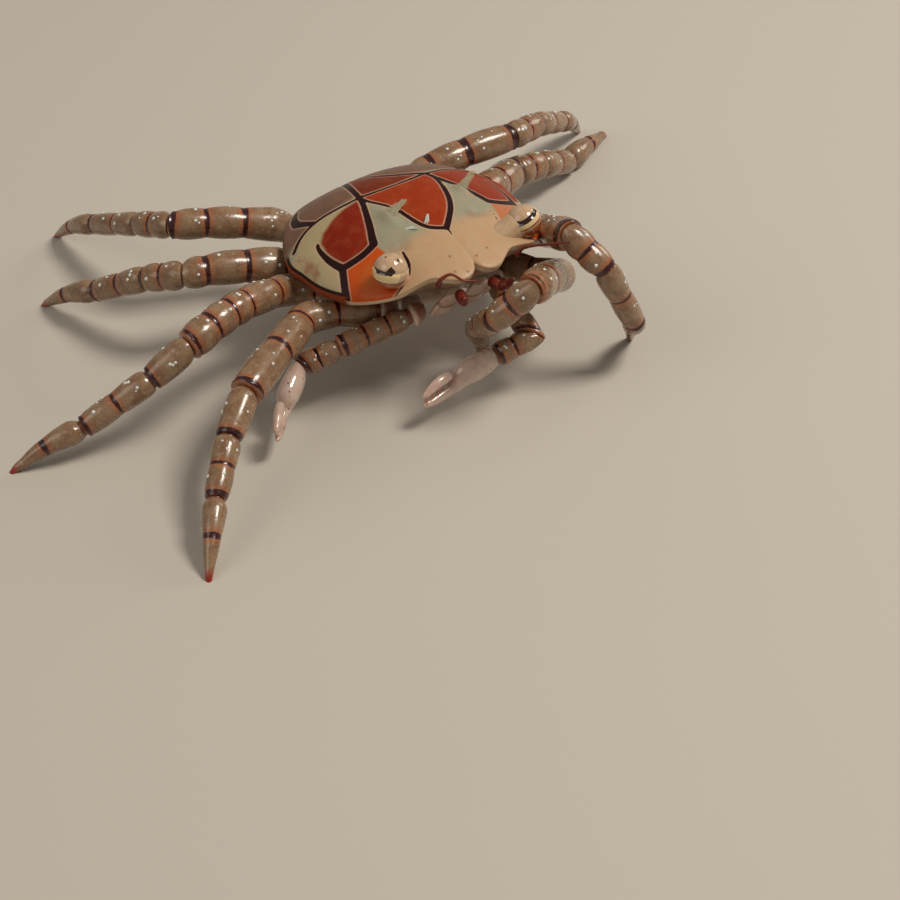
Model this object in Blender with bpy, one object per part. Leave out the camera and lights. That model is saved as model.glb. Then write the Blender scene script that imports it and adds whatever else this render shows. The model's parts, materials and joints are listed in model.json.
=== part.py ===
"""A boxer crab, life size, as a still museum model: carapace 16 mm wide, standing on its
walking legs. The crab faces -Y, its left side is +X, the floor is z = 0."""

from math import atan2, cos, pi, radians, sin, sqrt, tan

import bmesh
import bpy
from mathutils import Vector

MM = 0.001
GAP = 0.3                 # between neighbouring pieces

# Carapace
CROWN_Z = 10.15           # top of the back above the floor
BELLY_Z = 6.35            # flat underside of the carapace
HUB_Y = 0.4               # centre that the outline is drawn round
REAR_FALL_Y = 3.0         # the back falls faster behind this

# Thorax and abdomen
STERNUM_Z = 4.1           # lowest face of the thorax
THORAX_TOP_Z = BELLY_Z - GAP

# Eyes
CORNEA = 1.05             # radius
EYE = (4.95, -4.70, 9.65)
STALK_ROOT = (2.9, -5.35, 8.95)
STALK = 0.62              # radius

# Walking legs, by pair from the front: root, then the length of each length of limb
LEG_ROOT = {2: (4.4, -2.2, 5.0), 3: (4.9, 0.3, 5.0), 4: (4.6, 2.9, 5.0), 5: (3.4, 5.2, 5.1)}
LEG_LENGTH = {2: (4.2, 8.0, 3.1, 4.0, 4.9), 3: (3.4, 8.9, 2.9, 4.9, 4.9),
              4: (2.5, 6.6, 2.9, 4.4, 5.1), 5: (3.6, 6.9, 3.2, 4.7, 5.1)}
LEG_RADIUS = {"ischium": 0.86, "carpus": 0.88, "propodus": 0.80, "dactylus": 0.62}
MERUS_RADIUS = {2: (0.98, 1.04), 3: (0.95, 1.00), 4: (1.13, 0.92), 5: (1.02, 0.92)}
MERUS_BOW = {"2_R": 0.2, "3_R": 0.8, "4_R": 0.3, "5_R": 0.2,
             "5_L": 0.25, "4_L": 0.0, "3_L": 0.0, "2_L": 0.2}
LEG_BEADS = {"merus": 4, "carpus": 2, "propodus": 2, "dactylus": 2}
BEAD = 0.07               # how far a bead swells, as a share of the radius
FOOT = 0.2                # radius of the flat at the tip of a leg

# Headings and pitches in degrees: heading 0 points to the crab's left, 90 to its rear.
# Each leg: ischium, merus, carpus and propodus, then the heading of the dactylus,
# whose pitch brings its tip to the floor.
LEG_POSE = {
    "2_R": ((159, 4), (211, -2), (218, -22), (227, -23), 233),
    "3_R": ((143, 3), (195, 4), (175, -31), (170, -27), 167),
    "4_R": ((140, 3), (164, 7), (122, -21), (119, -30), 115),
    "5_R": ((110, 1), (158, 8), (106, -22), (104, -25), 102),
    "5_L": ((54, 5), (-4, 6), (22, -13), (32, -28), 35),
    "4_L": ((31, 3), (29, -14), (15, -16), (25, -26), 25),
    "3_L": ((-14, 3), (-108, 31), (-63, -35), (-17, -65), 56),
    "2_L": ((-57, 4), (-140, 28), (-209, -43), (-285, -40), 40),
}

# Claws: lengths of the arm, the wrist, the palm and the fingers, radii of the first three
CLAW_ROOT = (3.2, -3.8, 5.0)
CLAW_LENGTH = (4.7, 2.5, 3.0, 2.6)
CLAW_RADIUS = (0.72, 0.74, 0.80)
CLAW_POSE = {
    "R": ((172, -10), (160, -22), (216, -20), (230, -8)),
    "L": ((-95, -15), (168, -18), (178, -12), (-170, -8)),
}

# Colours, roughness: linear RGB
SHELL = (0.62, 0.20, 0.09)
LIMB = (0.52, 0.36, 0.27)
PALE = (0.78, 0.66, 0.56)
EYE_COLOUR = (0.55, 0.42, 0.22)
FEELER = (0.16, 0.02, 0.015)


def clear_scene():
    for obj in list(bpy.data.objects):
        bpy.data.objects.remove(obj, do_unlink=True)


def material(name, colour, roughness):
    made = bpy.data.materials.get(name)
    if made:
        return made
    made = bpy.data.materials.new(name)
    made.use_nodes = True
    shader = made.node_tree.nodes["Principled BSDF"]
    shader.inputs["Base Color"].default_value = (*colour, 1)
    shader.inputs["Roughness"].default_value = roughness
    shader.inputs["Metallic"].default_value = 0
    made.diffuse_color = (*colour, 1)
    return made


def add_object(name, mesh, finish, collection):
    obj = bpy.data.objects.new(name, mesh)
    mesh.materials.append(material(*finish))
    mesh.shade_smooth()
    mesh.set_sharp_from_angle(angle=radians(50))
    collection.objects.link(obj)
    return obj


def lofted(name, rings):
    """A closed mesh through rings of points, each of the same count, closed at both ends."""
    bm = bmesh.new()
    rows = [[bm.verts.new(Vector(p) * MM) for p in ring] for ring in rings]
    count = len(rows[0])
    for low, high in zip(rows, rows[1:]):
        for i in range(count):
            j = (i + 1) % count
            bm.faces.new((low[i], low[j], high[j], high[i]))
    for row in (rows[0], rows[-1]):
        centre = sum((v.co for v in row), Vector()) / count
        hub = bm.verts.new(centre)
        for i in range(count):
            bm.faces.new((row[i], row[(i + 1) % count], hub))
    bmesh.ops.recalc_face_normals(bm, faces=bm.faces)
    mesh = bpy.data.meshes.new(name)
    bm.to_mesh(mesh)
    bm.free()
    return mesh


def aim(heading, pitch):
    h, p = radians(heading), radians(pitch)
    return Vector((cos(p) * cos(h), cos(p) * sin(h), sin(p)))


def smooth_through(points, x):
    """A smooth curve through (x, y) points, with the slope of the neighbours at each."""
    last = len(points) - 1
    i = next(k for k in range(last) if x <= points[k + 1][0] or k == last - 1)
    (x0, y0), (x1, y1) = points[i], points[i + 1]
    before, after = points[max(i - 1, 0)], points[min(i + 2, last)]
    m0 = (y1 - before[1]) / (x1 - before[0])
    m1 = (after[1] - y0) / (after[0] - x0)
    w = x1 - x0
    t = min(max((x - x0) / w, 0), 1)
    return ((2 * t**3 - 3 * t**2 + 1) * y0 + (t**3 - 2 * t**2 + t) * w * m0
            + (3 * t**2 - 2 * t**3) * y1 + (t**3 - t**2) * w * m1)


def bead_swell(share, beads):
    """1 in the middle of each bead and 0 at the rings between them."""
    return sin(pi * ((share * beads) % 1.0))


# Limbs

def limb_mesh(name, path, radii, cut_start, cut_end, sides=10, squash=1.0, up=Vector((0, 0, 1))):
    """A tube through the path's points. Its end rings lie in the planes given, as a point
    and a normal, or flat on the floor where cut_end is None; squash flattens it along the
    direction that is square to up."""
    rings = []
    for k, (point, radius) in enumerate(zip(path, radii)):
        ahead = path[min(k + 1, len(path) - 1)] - path[max(k - 1, 0)]
        ahead.normalize()
        across = ahead.cross(up).normalized()
        over = across.cross(ahead).normalized()
        ring = [point + (across * cos(a) * squash + over * sin(a)) * radius
                for a in (2 * pi * i / sides for i in range(sides))]
        cut = cut_start if k == 0 else cut_end if k == len(path) - 1 else ()
        if cut is None:
            forward = Vector((ahead.x, ahead.y, 0)).normalized()
            ring = [point + (across * cos(a) + forward * sin(a)) * radius
                    for a in (2 * pi * i / sides for i in range(sides))]
        elif cut:
            where, normal = cut
            ring = [p + ahead * ((where - p).dot(normal) / ahead.dot(normal)) for p in ring]
        rings.append(ring)
    return lofted(name, rings)


def joint_plane(before, after, point, side):
    """The mitre plane between two lengths of limb, half a gap to one side of the joint."""
    normal = (before + after).normalized()
    return point + normal * (side * GAP / 2), normal


def segment_stations(start, end, radius, beads, trim_start, trim_end, end_scale=(0.82, 0.82)):
    """Points and radii along one straight length of limb, beaded between its rings."""
    axis = end - start
    length = axis.length
    axis.normalize()
    first, last = trim_start, length - trim_end
    points, radii = [start], [radius[0] * end_scale[0]]
    steps = max(beads * 2, 3)
    for i in range(steps + 1):
        share = i / steps
        at = first + (last - first) * share
        swell = 1 + BEAD * bead_swell(share, beads)
        points.append(start + axis * at)
        radii.append((radius[0] + (radius[1] - radius[0]) * share) * swell)
    points.append(end)
    radii.append(radius[1] * end_scale[1])
    return points, radii


def mitre_length(before, after, radius):
    """How far along a limb the slanting end face of a joint reaches."""
    return radius * tan(before.angle(after) / 2) * 0.82 + 0.28


def leg_joints(key):
    """The joints of one walking leg from its root to the floor."""
    pair, side = int(key[0]), key[2]
    x, y, z = LEG_ROOT[pair]
    joints = [Vector((x if side == "L" else -x, y, z))]
    pose = LEG_POSE[key]
    for (heading, pitch), length in zip(pose[:4], LEG_LENGTH[pair]):
        joints.append(joints[-1] + aim(heading, pitch) * length)
    reach = LEG_LENGTH[pair][4]
    drop = joints[-1].z
    flat = sqrt(reach**2 - drop**2)
    joints.append(joints[-1] + aim(pose[4], 0) * flat - Vector((0, 0, drop)))
    return joints


def add_leg(key, collection):
    joints = leg_joints(key)
    ways = [(b - a).normalized() for a, b in zip(joints, joints[1:])]
    pair = int(key[0])
    scale = 0.94 if pair == 5 else 1.0
    radius = {part: r * scale for part, r in LEG_RADIUS.items()}
    merus = MERUS_RADIUS[pair]

    # The merus node runs from the coxa through the ischium to the knee
    root_cut = (joints[0] + ways[0] * GAP / 2, ways[0])
    knee_cut = joint_plane(ways[1], ways[2], joints[2], -1)
    ischium = joints[1] - joints[0]
    path = [joints[0], joints[0] + ischium * 0.15, joints[0] + ischium * 0.62]
    radii = [radius["ischium"] * k for k in (0.80, 0.97, 0.97)]
    trim = mitre_length(ways[1], ways[2], merus[1])
    points, sizes = segment_stations(joints[1], joints[2], merus, LEG_BEADS["merus"], 0.45, trim)
    length = (joints[2] - joints[1]).length
    for point in points[1:-1]:
        share = (point - joints[1]).length / length
        point.z += MERUS_BOW[key] * sin(pi * share)
    path += points[1:]
    radii += sizes[1:]
    name = f"leg{pair}_{key[2]}_merus"
    add_object(name, limb_mesh(name, path, radii, root_cut, knee_cut), ("limb", LIMB, 0.3), collection)

    next_radius = {"carpus": "propodus", "propodus": "dactylus"}
    for k, part in ((2, "carpus"), (3, "propodus")):
        start_cut = joint_plane(ways[k - 1], ways[k], joints[k], 1)
        end_cut = joint_plane(ways[k], ways[k + 1], joints[k + 1], -1)
        sizes = (radius[part], (radius[part] + radius[next_radius[part]]) / 2)
        points, radii = segment_stations(
            joints[k], joints[k + 1], sizes, LEG_BEADS[part],
            mitre_length(ways[k - 1], ways[k], sizes[0]), mitre_length(ways[k], ways[k + 1], sizes[1]))
        name = f"leg{pair}_{key[2]}_{part}"
        add_object(name, limb_mesh(name, points, radii, start_cut, end_cut), ("limb", LIMB, 0.3), collection)

    # The dactylus tapers to a small flat on the floor and bows a little
    start, tip = joints[4], joints[5]
    axis = tip - start
    bow = Vector((0, 0, 1)) - ways[4] * ways[4].z
    bow = bow.normalized() * 0.28
    trim = mitre_length(ways[3], ways[4], radius["dactylus"]) / axis.length
    shares = (0, trim, 0.26, 0.40, 0.54, 0.68, 0.82, 0.93, 1.0)
    path = [start + axis * t + bow * sin(pi * t) for t in shares]
    full = radius["dactylus"] * 1.08
    radii = [full * 0.82, full, full * 0.98, full * 0.88, full * 0.78, full * 0.62, full * 0.46,
             full * 0.36, FOOT]
    start_cut = joint_plane(ways[3], ways[4], joints[4], 1)
    for point, size in zip(path[:-1], radii):
        point.z = max(point.z, size + 0.03)
    name = f"leg{pair}_{key[2]}_dactylus"
    add_object(name, limb_mesh(name, path, radii, start_cut, None), ("limb", LIMB, 0.3), collection)


def claw_joints(side):
    x, y, z = CLAW_ROOT
    joints = [Vector((x if side == "L" else -x, y, z))]
    for (heading, pitch), length in zip(CLAW_POSE[side], CLAW_LENGTH):
        joints.append(joints[-1] + aim(heading, pitch) * length)
    return joints


def add_claw(side, collection):
    joints = claw_joints(side)
    ways = [(b - a).normalized() for a, b in zip(joints, joints[1:])]
    for k, part in ((0, "merus"), (1, "carpus")):
        start_cut = (joints[0] + ways[0] * GAP / 2, ways[0]) if k == 0 else joint_plane(
            ways[k - 1], ways[k], joints[k], 1)
        end_cut = joint_plane(ways[k], ways[k + 1], joints[k + 1], -1)
        first = 0.3 if k == 0 else mitre_length(ways[k - 1], ways[k], CLAW_RADIUS[k])
        size = CLAW_RADIUS[k]
        points, radii = segment_stations(joints[k], joints[k + 1], (size * 0.92, size), 2 if k == 0 else 1,
                                         first, mitre_length(ways[k], ways[k + 1], size))
        name = f"claw_{side}_{part}"
        add_object(name, limb_mesh(name, points, radii, start_cut, end_cut), ("limb", LIMB, 0.3), collection)

    # The palm and its fixed finger are one piece, the movable finger is another.
    # The fingers part in the plane that holds the palm's way and this direction.
    way = ways[2]
    spread = Vector((0, 0, 1)) - way * way.z
    if abs(way.z) > 0.8:
        spread = Vector((0, -1, 0)) - way * -way.y
    spread.normalize()
    length, reach = CLAW_LENGTH[2], CLAW_LENGTH[3]
    tip_way = ways[3]
    end = joints[3]
    size = CLAW_RADIUS[2]
    palm = joints[2]
    low = -spread
    start_cut = joint_plane(ways[1], way, palm, 1)
    trim = mitre_length(ways[1], way, size)
    stations = ((0.0, 0.0, 0.80), (trim / length, 0.0, 0.95), (0.50, 0.0, 1.02), (0.72, 0.0, 0.98))
    path = [palm + way * length * t for t, _, _ in stations]
    radii = [size * r for _, _, r in stations]
    for t, off, r in ((0.0, 0.36, 0.50), (0.22, 0.46, 0.36), (0.50, 0.46, 0.32), (0.78, 0.38, 0.27), (1.0, 0.24, 0.16)):
        path.append(end + tip_way * reach * t + low * off)
        radii.append(r)
    end_cut = (path[-1], tip_way)
    name = f"claw_{side}_hand"
    hand = limb_mesh(name, path, radii, start_cut, end_cut, sides=12, squash=0.82, up=spread)
    add_object(name, hand, ("claw", PALE, 0.28), collection)

    base = end + spread * 0.58 + tip_way * 0.30
    path, radii = [], []
    for t, off, r in ((0.0, 0.0, 0.30), (0.2, 0.06, 0.33), (0.45, 0.06, 0.31), (0.72, -0.04, 0.26), (1.0, -0.22, 0.15)):
        path.append(base + tip_way * (reach - 0.35) * t + spread * off)
        radii.append(r)
    name = f"claw_{side}_finger"
    finger_mesh = limb_mesh(name, path, radii, (path[0], tip_way), (path[-1], tip_way), sides=8,
                            squash=0.9, up=spread)
    add_object(name, finger_mesh, ("claw", PALE, 0.28), collection)


# Carapace

# Half of the outline seen from above, from the notch in the front round to the rear
HALF_OUTLINE = [
    (0.0, -6.15), (0.28, -6.62), (0.85, -6.88), (1.5, -6.80), (2.05, -6.42), (2.75, -5.95), (3.6, -5.75),
    (4.7, -5.55), (5.6, -5.00), (6.4, -4.00), (7.1, -2.45), (7.6, -0.75), (7.75, 0.90),
    (7.9, 1.95), (7.5, 3.25), (6.7, 4.75), (5.6, 6.05), (4.4, 6.70), (2.5, 6.95), (0.0, 7.00)]
# The same points as an angle from straight ahead and a distance from the hub
OUTLINE = [(atan2(x, -(y - HUB_Y)), sqrt(x**2 + (y - HUB_Y) ** 2)) for x, y in HALF_OUTLINE]
# Height of the rim against the same angle: high in front, low at the sides
RIM = [(0.0, 9.05), (0.12, 8.80), (0.30, 8.85), (0.45, 8.90), (0.80, 8.05), (1.15, 7.15), (1.6, 6.80),
       (2.1, 6.95), (2.6, 7.15), (pi, 7.25)]
# The underside draws in under the front, where the mouth parts lie
UNDER = [(0.0, 0.66), (0.7, 0.70), (1.3, 0.74), (2.2, 0.74), (pi, 0.78)]


def crown(x, y):
    """The height of the back before it rounds down to the rim."""
    rear = max(y - REAR_FALL_Y, 0)
    return CROWN_Z - 0.034 * x**2 - 0.021 * (y + 0.5) ** 2 - 0.03 * rear**2


def carapace_point(angle, t):
    side = abs(angle)
    reach = smooth_through(OUTLINE, side) * t
    x, y = reach * sin(angle), HUB_Y - reach * cos(angle)
    return x, y, smooth_through(RIM, side)


def carapace_ring(around, t, level=None, below=0.0):
    ring = []
    for angle in around:
        x, y, rim = carapace_point(angle, t)
        if level is not None:
            z = level
        elif below:
            z = rim - below
        else:
            z = rim + (crown(x, y) - rim) * (1 - t**4.5) ** 0.5
        ring.append((x, y, z))
    return ring


def capsule(name, a, b, radius_a, radius_b, rings=6, sides=14):
    """A round-ended rod from a to b."""
    a, b = Vector(a), Vector(b)
    way = (b - a).normalized()
    across = way.cross(Vector((0, 0, 1))).normalized()
    over = across.cross(way)
    loops = []
    for centre, radius, turn in ((a, radius_a, -1), (b, radius_b, 1)):
        steps = range(1, rings + 1) if turn < 0 else range(rings, 0, -1)
        for i in steps:
            lift = (pi / 2) * i / rings
            loops.append([centre + way * (turn * radius * cos(lift))
                          + (across * cos(w) + over * sin(w)) * (radius * sin(lift))
                          for w in (2 * pi * k / sides for k in range(sides))])
    return lofted(name, loops)


def mirrored(point, side):
    return Vector((point[0] if side == "L" else -point[0], point[1], point[2]))


def cut_away(obj, tools):
    """Takes the tools' shapes out of the object for good."""
    cutters = bpy.data.collections.new("cutters")
    for mesh in tools:
        cutters.objects.link(bpy.data.objects.new("cutter", mesh))
    modifier = obj.modifiers.new("cut", "BOOLEAN")
    modifier.operation = "DIFFERENCE"
    modifier.operand_type = "COLLECTION"
    modifier.collection = cutters
    settle(obj, cutters)


def join_all(obj, pieces, solver="EXACT"):
    """Unites the pieces with the object for good."""
    extras = bpy.data.collections.new("extras")
    for mesh in pieces:
        extras.objects.link(bpy.data.objects.new("piece", mesh))
    modifier = obj.modifiers.new("join", "BOOLEAN")
    modifier.operation = "UNION"
    modifier.solver = solver
    modifier.operand_type = "COLLECTION"
    modifier.collection = extras
    settle(obj, extras)


def settle(obj, helpers):
    """Applies the object's modifiers, keeps its largest closed surface, drops the helpers."""
    bpy.context.view_layer.update()
    graph = bpy.context.evaluated_depsgraph_get()
    mesh = bpy.data.meshes.new_from_object(obj.evaluated_get(graph))
    obj.modifiers.clear()
    obj.data = mesh
    for helper in list(helpers.objects):
        bpy.data.objects.remove(helper, do_unlink=True)
    bpy.data.collections.remove(helpers)
    keep_largest(mesh)
    mesh.shade_smooth()
    mesh.set_sharp_from_angle(angle=radians(50))


def keep_largest(mesh):
    bm = bmesh.new()
    bm.from_mesh(mesh)
    bmesh.ops.triangulate(bm, faces=bm.faces)
    bmesh.ops.remove_doubles(bm, verts=bm.verts, dist=0.0002 * MM)
    unseen = set(bm.verts)
    groups = []
    while unseen:
        group, edge = set(), [unseen.pop()]
        while edge:
            vert = edge.pop()
            group.add(vert)
            for link in vert.link_edges:
                other = link.other_vert(vert)
                if other in unseen:
                    unseen.discard(other)
                    edge.append(other)
        groups.append(group)
    largest = max(groups, key=len)
    bmesh.ops.delete(bm, geom=[v for v in bm.verts if v not in largest], context="VERTS")
    bm.to_mesh(mesh)
    bm.free()


def tooth(name, base, tip, radius):
    """A small blunt spine, its root sunk into what it grows from."""
    base, tip = Vector(base), Vector(tip)
    way = tip - base
    side = way.cross(Vector((0, 0, 1))).normalized()
    over = side.cross(way).normalized()
    loops = []
    for t, r in ((0, 1.0), (0.55, 0.72), (0.9, 0.36), (1.0, 0.16)):
        loops.append([base + way * t + (side * cos(w) + over * sin(w)) * radius * r
                      for w in (2 * pi * k / 8 for k in range(8))])
    return lofted(name, loops)


def add_carapace(collection):
    count = 72
    around = [2 * pi * i / count - pi for i in range(count)]
    rings = [carapace_ring(around, t) for t in (0.12, 0.28, 0.45, 0.60, 0.72, 0.82, 0.90, 0.955, 0.985, 1.0)]
    rings.append(carapace_ring(around, 0.985, below=0.32))
    rings.append(carapace_ring(around, 0.93, below=0.62))
    floor_ring = []
    for angle in around:
        x, y, _ = carapace_point(angle, smooth_through(UNDER, abs(angle)))
        floor_ring.append((x, y, BELLY_Z))
    rings.append(floor_ring)
    shell = add_object("carapace", lofted("carapace", rings), ("shell", SHELL, 0.32), collection)
    teeth = []
    for side in ("L", "R"):
        teeth.append(tooth("side_tooth", mirrored((6.9, 1.6, 7.0), side), mirrored((8.4, 2.1, 7.05), side), 0.42))
    join_all(shell, teeth)
    hollows = []
    for side in ("L", "R"):
        hollows.append(capsule("orbit", mirrored(STALK_ROOT, side), mirrored(EYE, side),
                               STALK + GAP, CORNEA + GAP, rings=5, sides=16))
    # The raised third leg of the left side lies in a hollow of the edge
    root, bend, knee = leg_joints("3_L")[:3]
    room = MERUS_RADIUS[3][0] * (1 + BEAD) + GAP
    hollows.append(capsule("leg_hollow", bend, bend.lerp(knee, 0.7), room, room, rings=4, sides=20))
    cut_away(shell, hollows)


def add_eyes(collection):
    for side in ("L", "R"):
        root, eye = mirrored(STALK_ROOT, side), mirrored(EYE, side)
        way = (eye - root).normalized()
        length = (eye - root).length
        stop = length - CORNEA * 0.42 - GAP
        path = [root + way * length * t for t in (0.0, 0.12, 0.3)] + [root + way * stop * t for t in (0.7, 1.0)]
        radii = [STALK * 0.7, STALK, STALK, STALK * 1.1, STALK * 1.15]
        name = f"eyestalk_{side}"
        stalk = limb_mesh(name, path, radii, (path[0], way), (path[-1], way), sides=12)
        add_object(name, stalk, ("eyestalk", PALE, 0.3), collection)
        name = f"eye_{side}"
        across = way.cross(Vector((0, 0, 1))).normalized()
        over = across.cross(way)
        loops = []
        for t in (-0.42, -0.30, -0.1, 0.15, 0.4, 0.62, 0.8, 0.92, 0.98):
            size = CORNEA * sqrt(1 - t * t)
            loops.append([eye + way * CORNEA * t + (across * cos(w) + over * sin(w)) * size
                          for w in (2 * pi * k / 16 for k in range(16))])
        add_object(name, lofted(name, loops), ("eye", EYE_COLOUR, 0.12), collection)


def add_thorax(collection):
    """The sternum and the coxae that carry the limbs."""
    count = 32
    shape = [(0.0, 3.6), (0.6, 3.9), (1.2, 4.1), (1.7, 4.2), (2.4, 4.9), (pi, 5.4)]
    rings = []
    for scale, z in ((0.72, THORAX_TOP_Z), (0.95, THORAX_TOP_Z - 0.12), (1.0, 5.35), (0.96, 4.75), (0.80, 4.3),
                     (0.5, STERNUM_Z)):
        ring = []
        for i in range(count):
            angle = 2 * pi * i / count - pi
            reach = smooth_through(shape, abs(angle)) * scale
            ring.append((reach * sin(angle) * 0.93, HUB_Y - reach * cos(angle), z))
        rings.append(ring)
    thorax = add_object("thorax", lofted("thorax", rings), ("underside", PALE, 0.4), collection)
    coxae = []
    for key in LEG_POSE:
        joints = leg_joints(key)
        way = (joints[1] - joints[0]).normalized()
        root = joints[0]
        inner = Vector((root.x * 0.45, root.y * 0.6 + HUB_Y * 0.4, 5.0))
        size = LEG_RADIUS["ischium"] * (0.9 if key[0] == "5" else 0.95)
        path = [inner, inner.lerp(root, 0.6), root - way * 0.55, root]
        coxae.append(limb_mesh("coxa", path, [size * 0.55, size * 0.72, size * 0.84, size * 0.74],
                               (inner, (root - inner).normalized()),
                               (root - way * GAP / 2, way), sides=10))
    for side in ("L", "R"):
        joints = claw_joints(side)
        way = (joints[1] - joints[0]).normalized()
        root = joints[0]
        inner = Vector((root.x * 0.4, root.y * 0.5, 5.0))
        size = CLAW_RADIUS[0]
        path = [inner, inner.lerp(root, 0.6), root - way * 0.5, root]
        coxae.append(limb_mesh("coxa", path, [size * 0.6, size * 0.8, size * 0.9, size * 0.78],
                               (inner, (root - inner).normalized()),
                               (root - way * GAP / 2, way), sides=10))
    join_all(thorax, coxae, solver="MANIFOLD")


def add_abdomen(collection):
    """The tail, folded forward under the body."""
    half_section = ((-1.0, 0.0), (-0.92, 0.2), (-0.6, 0.3), (0.0, 0.34), (0.6, 0.3), (0.92, 0.2), (1.0, 0.0),
                    (0.9, -0.2), (0.0, -0.24), (-0.9, -0.2))
    rings = []
    for y, z, half, tilt in ((6.5, 5.95, 2.3, 80), (6.6, 5.2, 2.35, 95), (6.3, 4.35, 2.2, 130),
                             (5.5, 3.75, 2.0, 160), (4.2, 3.48, 1.75, 176), (2.4, 3.42, 1.5, 180),
                             (0.8, 3.42, 1.2, 180), (-0.6, 3.46, 0.7, 182)):
        out = Vector((0, sin(radians(tilt)), cos(radians(tilt))))
        rings.append([Vector((u * half, y, z)) + out * v for u, v in half_section])
    add_object("abdomen", lofted("abdomen", rings), ("underside", PALE, 0.4), collection)


def add_mouth_and_feelers(collection):
    for side in ("L", "R"):
        # The outer jaw-foot is a long plate over the mouth
        section = ((-1.0, 0.0), (-0.7, 0.8), (0.0, 1.0), (0.7, 0.8), (1.0, 0.0), (0.7, -0.7), (0.0, -0.8), (-0.7, -0.7))
        rings = []
        for y, z, half, thick in ((-4.05, 4.55, 0.45, 0.20), (-4.35, 4.95, 0.66, 0.28), (-4.75, 5.6, 0.74, 0.30),
                                  (-5.15, 6.35, 0.72, 0.30), (-5.45, 6.95, 0.45, 0.24)):
            centre = mirrored((0.98, y, z), side)
            out = Vector((0, -0.88, -0.47))
            rings.append([centre + Vector((u * half, 0, 0)) + out * (v * thick) for u, v in section])
        add_object(f"maxilliped_{side}", lofted("maxilliped", rings), ("underside", PALE, 0.4), collection)

    # Feelers: where each grows from under the front, and where it reaches
    antenna = {"R": ((-2.8, -6.5, 8.75), (-2.75, -6.8, 9.4), (-2.3, -7.0, 9.65), (-1.6, -7.45, 9.2), (-0.8, -7.8, 9.1)),
               "L": ((2.8, -6.5, 8.75), (3.1, -6.75, 9.3), (3.45, -7.25, 9.6), (3.95, -8.1, 10.0), (4.7, -9.3, 10.55))}
    for side, points in antenna.items():
        path = [Vector(p) for p in points]
        ways = [(path[1] - path[0]).normalized(), (path[-1] - path[-2]).normalized()]
        name = f"antenna_{side}"
        feeler = limb_mesh(name, path, [0.34, 0.27, 0.22, 0.18, 0.12], (path[0], ways[0]), (path[-1], ways[1]),
                           sides=8)
        add_object(name, feeler, ("feeler", FEELER, 0.35), collection)
        path = [mirrored(p, side) for p in ((1.15, -6.3, 7.4), (1.3, -6.9, 7.35), (1.6, -7.4, 7.65), (1.75, -7.75, 8.15))]
        ways = [(path[1] - path[0]).normalized(), (path[-1] - path[-2]).normalized()]
        name = f"antennule_{side}"
        small = limb_mesh(name, path, [0.34, 0.32, 0.26, 0.15], (path[0], ways[0]), (path[-1], ways[1]), sides=8)
        add_object(name, small, ("feeler", FEELER, 0.35), collection)


def centre_on_floor(objects):
    """Moves the whole animal so that the middle of its bounding box is above the origin."""
    points = [v.co for obj in objects for v in obj.data.vertices]
    middle_x = (min(p.x for p in points) + max(p.x for p in points)) / 2
    middle_y = (min(p.y for p in points) + max(p.y for p in points)) / 2
    lowest = min(p.z for p in points)
    for point in points:
        point -= Vector((middle_x, middle_y, lowest))


def main():
    clear_scene()
    crab = bpy.data.collections.new("boxer_crab")
    bpy.context.scene.collection.children.link(crab)
    add_carapace(crab)
    add_thorax(crab)
    add_abdomen(crab)
    add_eyes(crab)
    add_mouth_and_feelers(crab)
    for side in ("L", "R"):
        add_claw(side, crab)
    for key in LEG_POSE:
        add_leg(key, crab)
    centre_on_floor(crab.objects)


main()
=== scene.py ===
"""A boxer crab as a life-size museum model: the surfaces of its shell, limbs and eyes, built
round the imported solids. The crab faces -Y, its left side is +X and the floor is z = 0."""

import json
from math import atan2, cos, pi, radians, sin, sqrt, tan

import bpy
import numpy as np
from mathutils import Matrix, Vector

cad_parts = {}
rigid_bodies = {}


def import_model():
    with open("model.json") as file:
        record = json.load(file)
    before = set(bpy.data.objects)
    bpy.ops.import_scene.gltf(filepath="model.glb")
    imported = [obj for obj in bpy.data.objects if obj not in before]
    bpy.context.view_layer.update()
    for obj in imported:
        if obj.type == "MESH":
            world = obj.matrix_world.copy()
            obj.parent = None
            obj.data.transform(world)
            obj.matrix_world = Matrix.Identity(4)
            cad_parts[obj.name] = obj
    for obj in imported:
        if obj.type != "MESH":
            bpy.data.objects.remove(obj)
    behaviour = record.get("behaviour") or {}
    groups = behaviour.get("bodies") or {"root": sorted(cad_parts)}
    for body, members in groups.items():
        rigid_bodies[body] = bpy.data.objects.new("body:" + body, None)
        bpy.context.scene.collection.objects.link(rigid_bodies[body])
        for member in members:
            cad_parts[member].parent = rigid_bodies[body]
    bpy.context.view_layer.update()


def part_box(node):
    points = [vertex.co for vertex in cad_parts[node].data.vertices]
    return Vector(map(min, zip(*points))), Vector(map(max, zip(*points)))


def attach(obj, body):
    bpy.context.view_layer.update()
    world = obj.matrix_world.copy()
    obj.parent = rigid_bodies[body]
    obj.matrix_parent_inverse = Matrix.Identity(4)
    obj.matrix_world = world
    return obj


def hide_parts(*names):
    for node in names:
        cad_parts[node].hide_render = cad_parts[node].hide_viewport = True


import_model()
scene = bpy.context.scene


# The view. The photograph looks at the crab from its front right and well above, through a
# long lens. The camera is set out from the notch in the middle of the crab's forehead.
MM = 0.001
REAR_EDGE_Y = 7.0                       # mm from the body's centre back to the shell's rear edge
shell_low, shell_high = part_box("carapace")
BODY = np.array([(shell_low.x + shell_high.x) / 2, shell_high.y - REAR_EDGE_Y * MM, 0]) / MM

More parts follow.
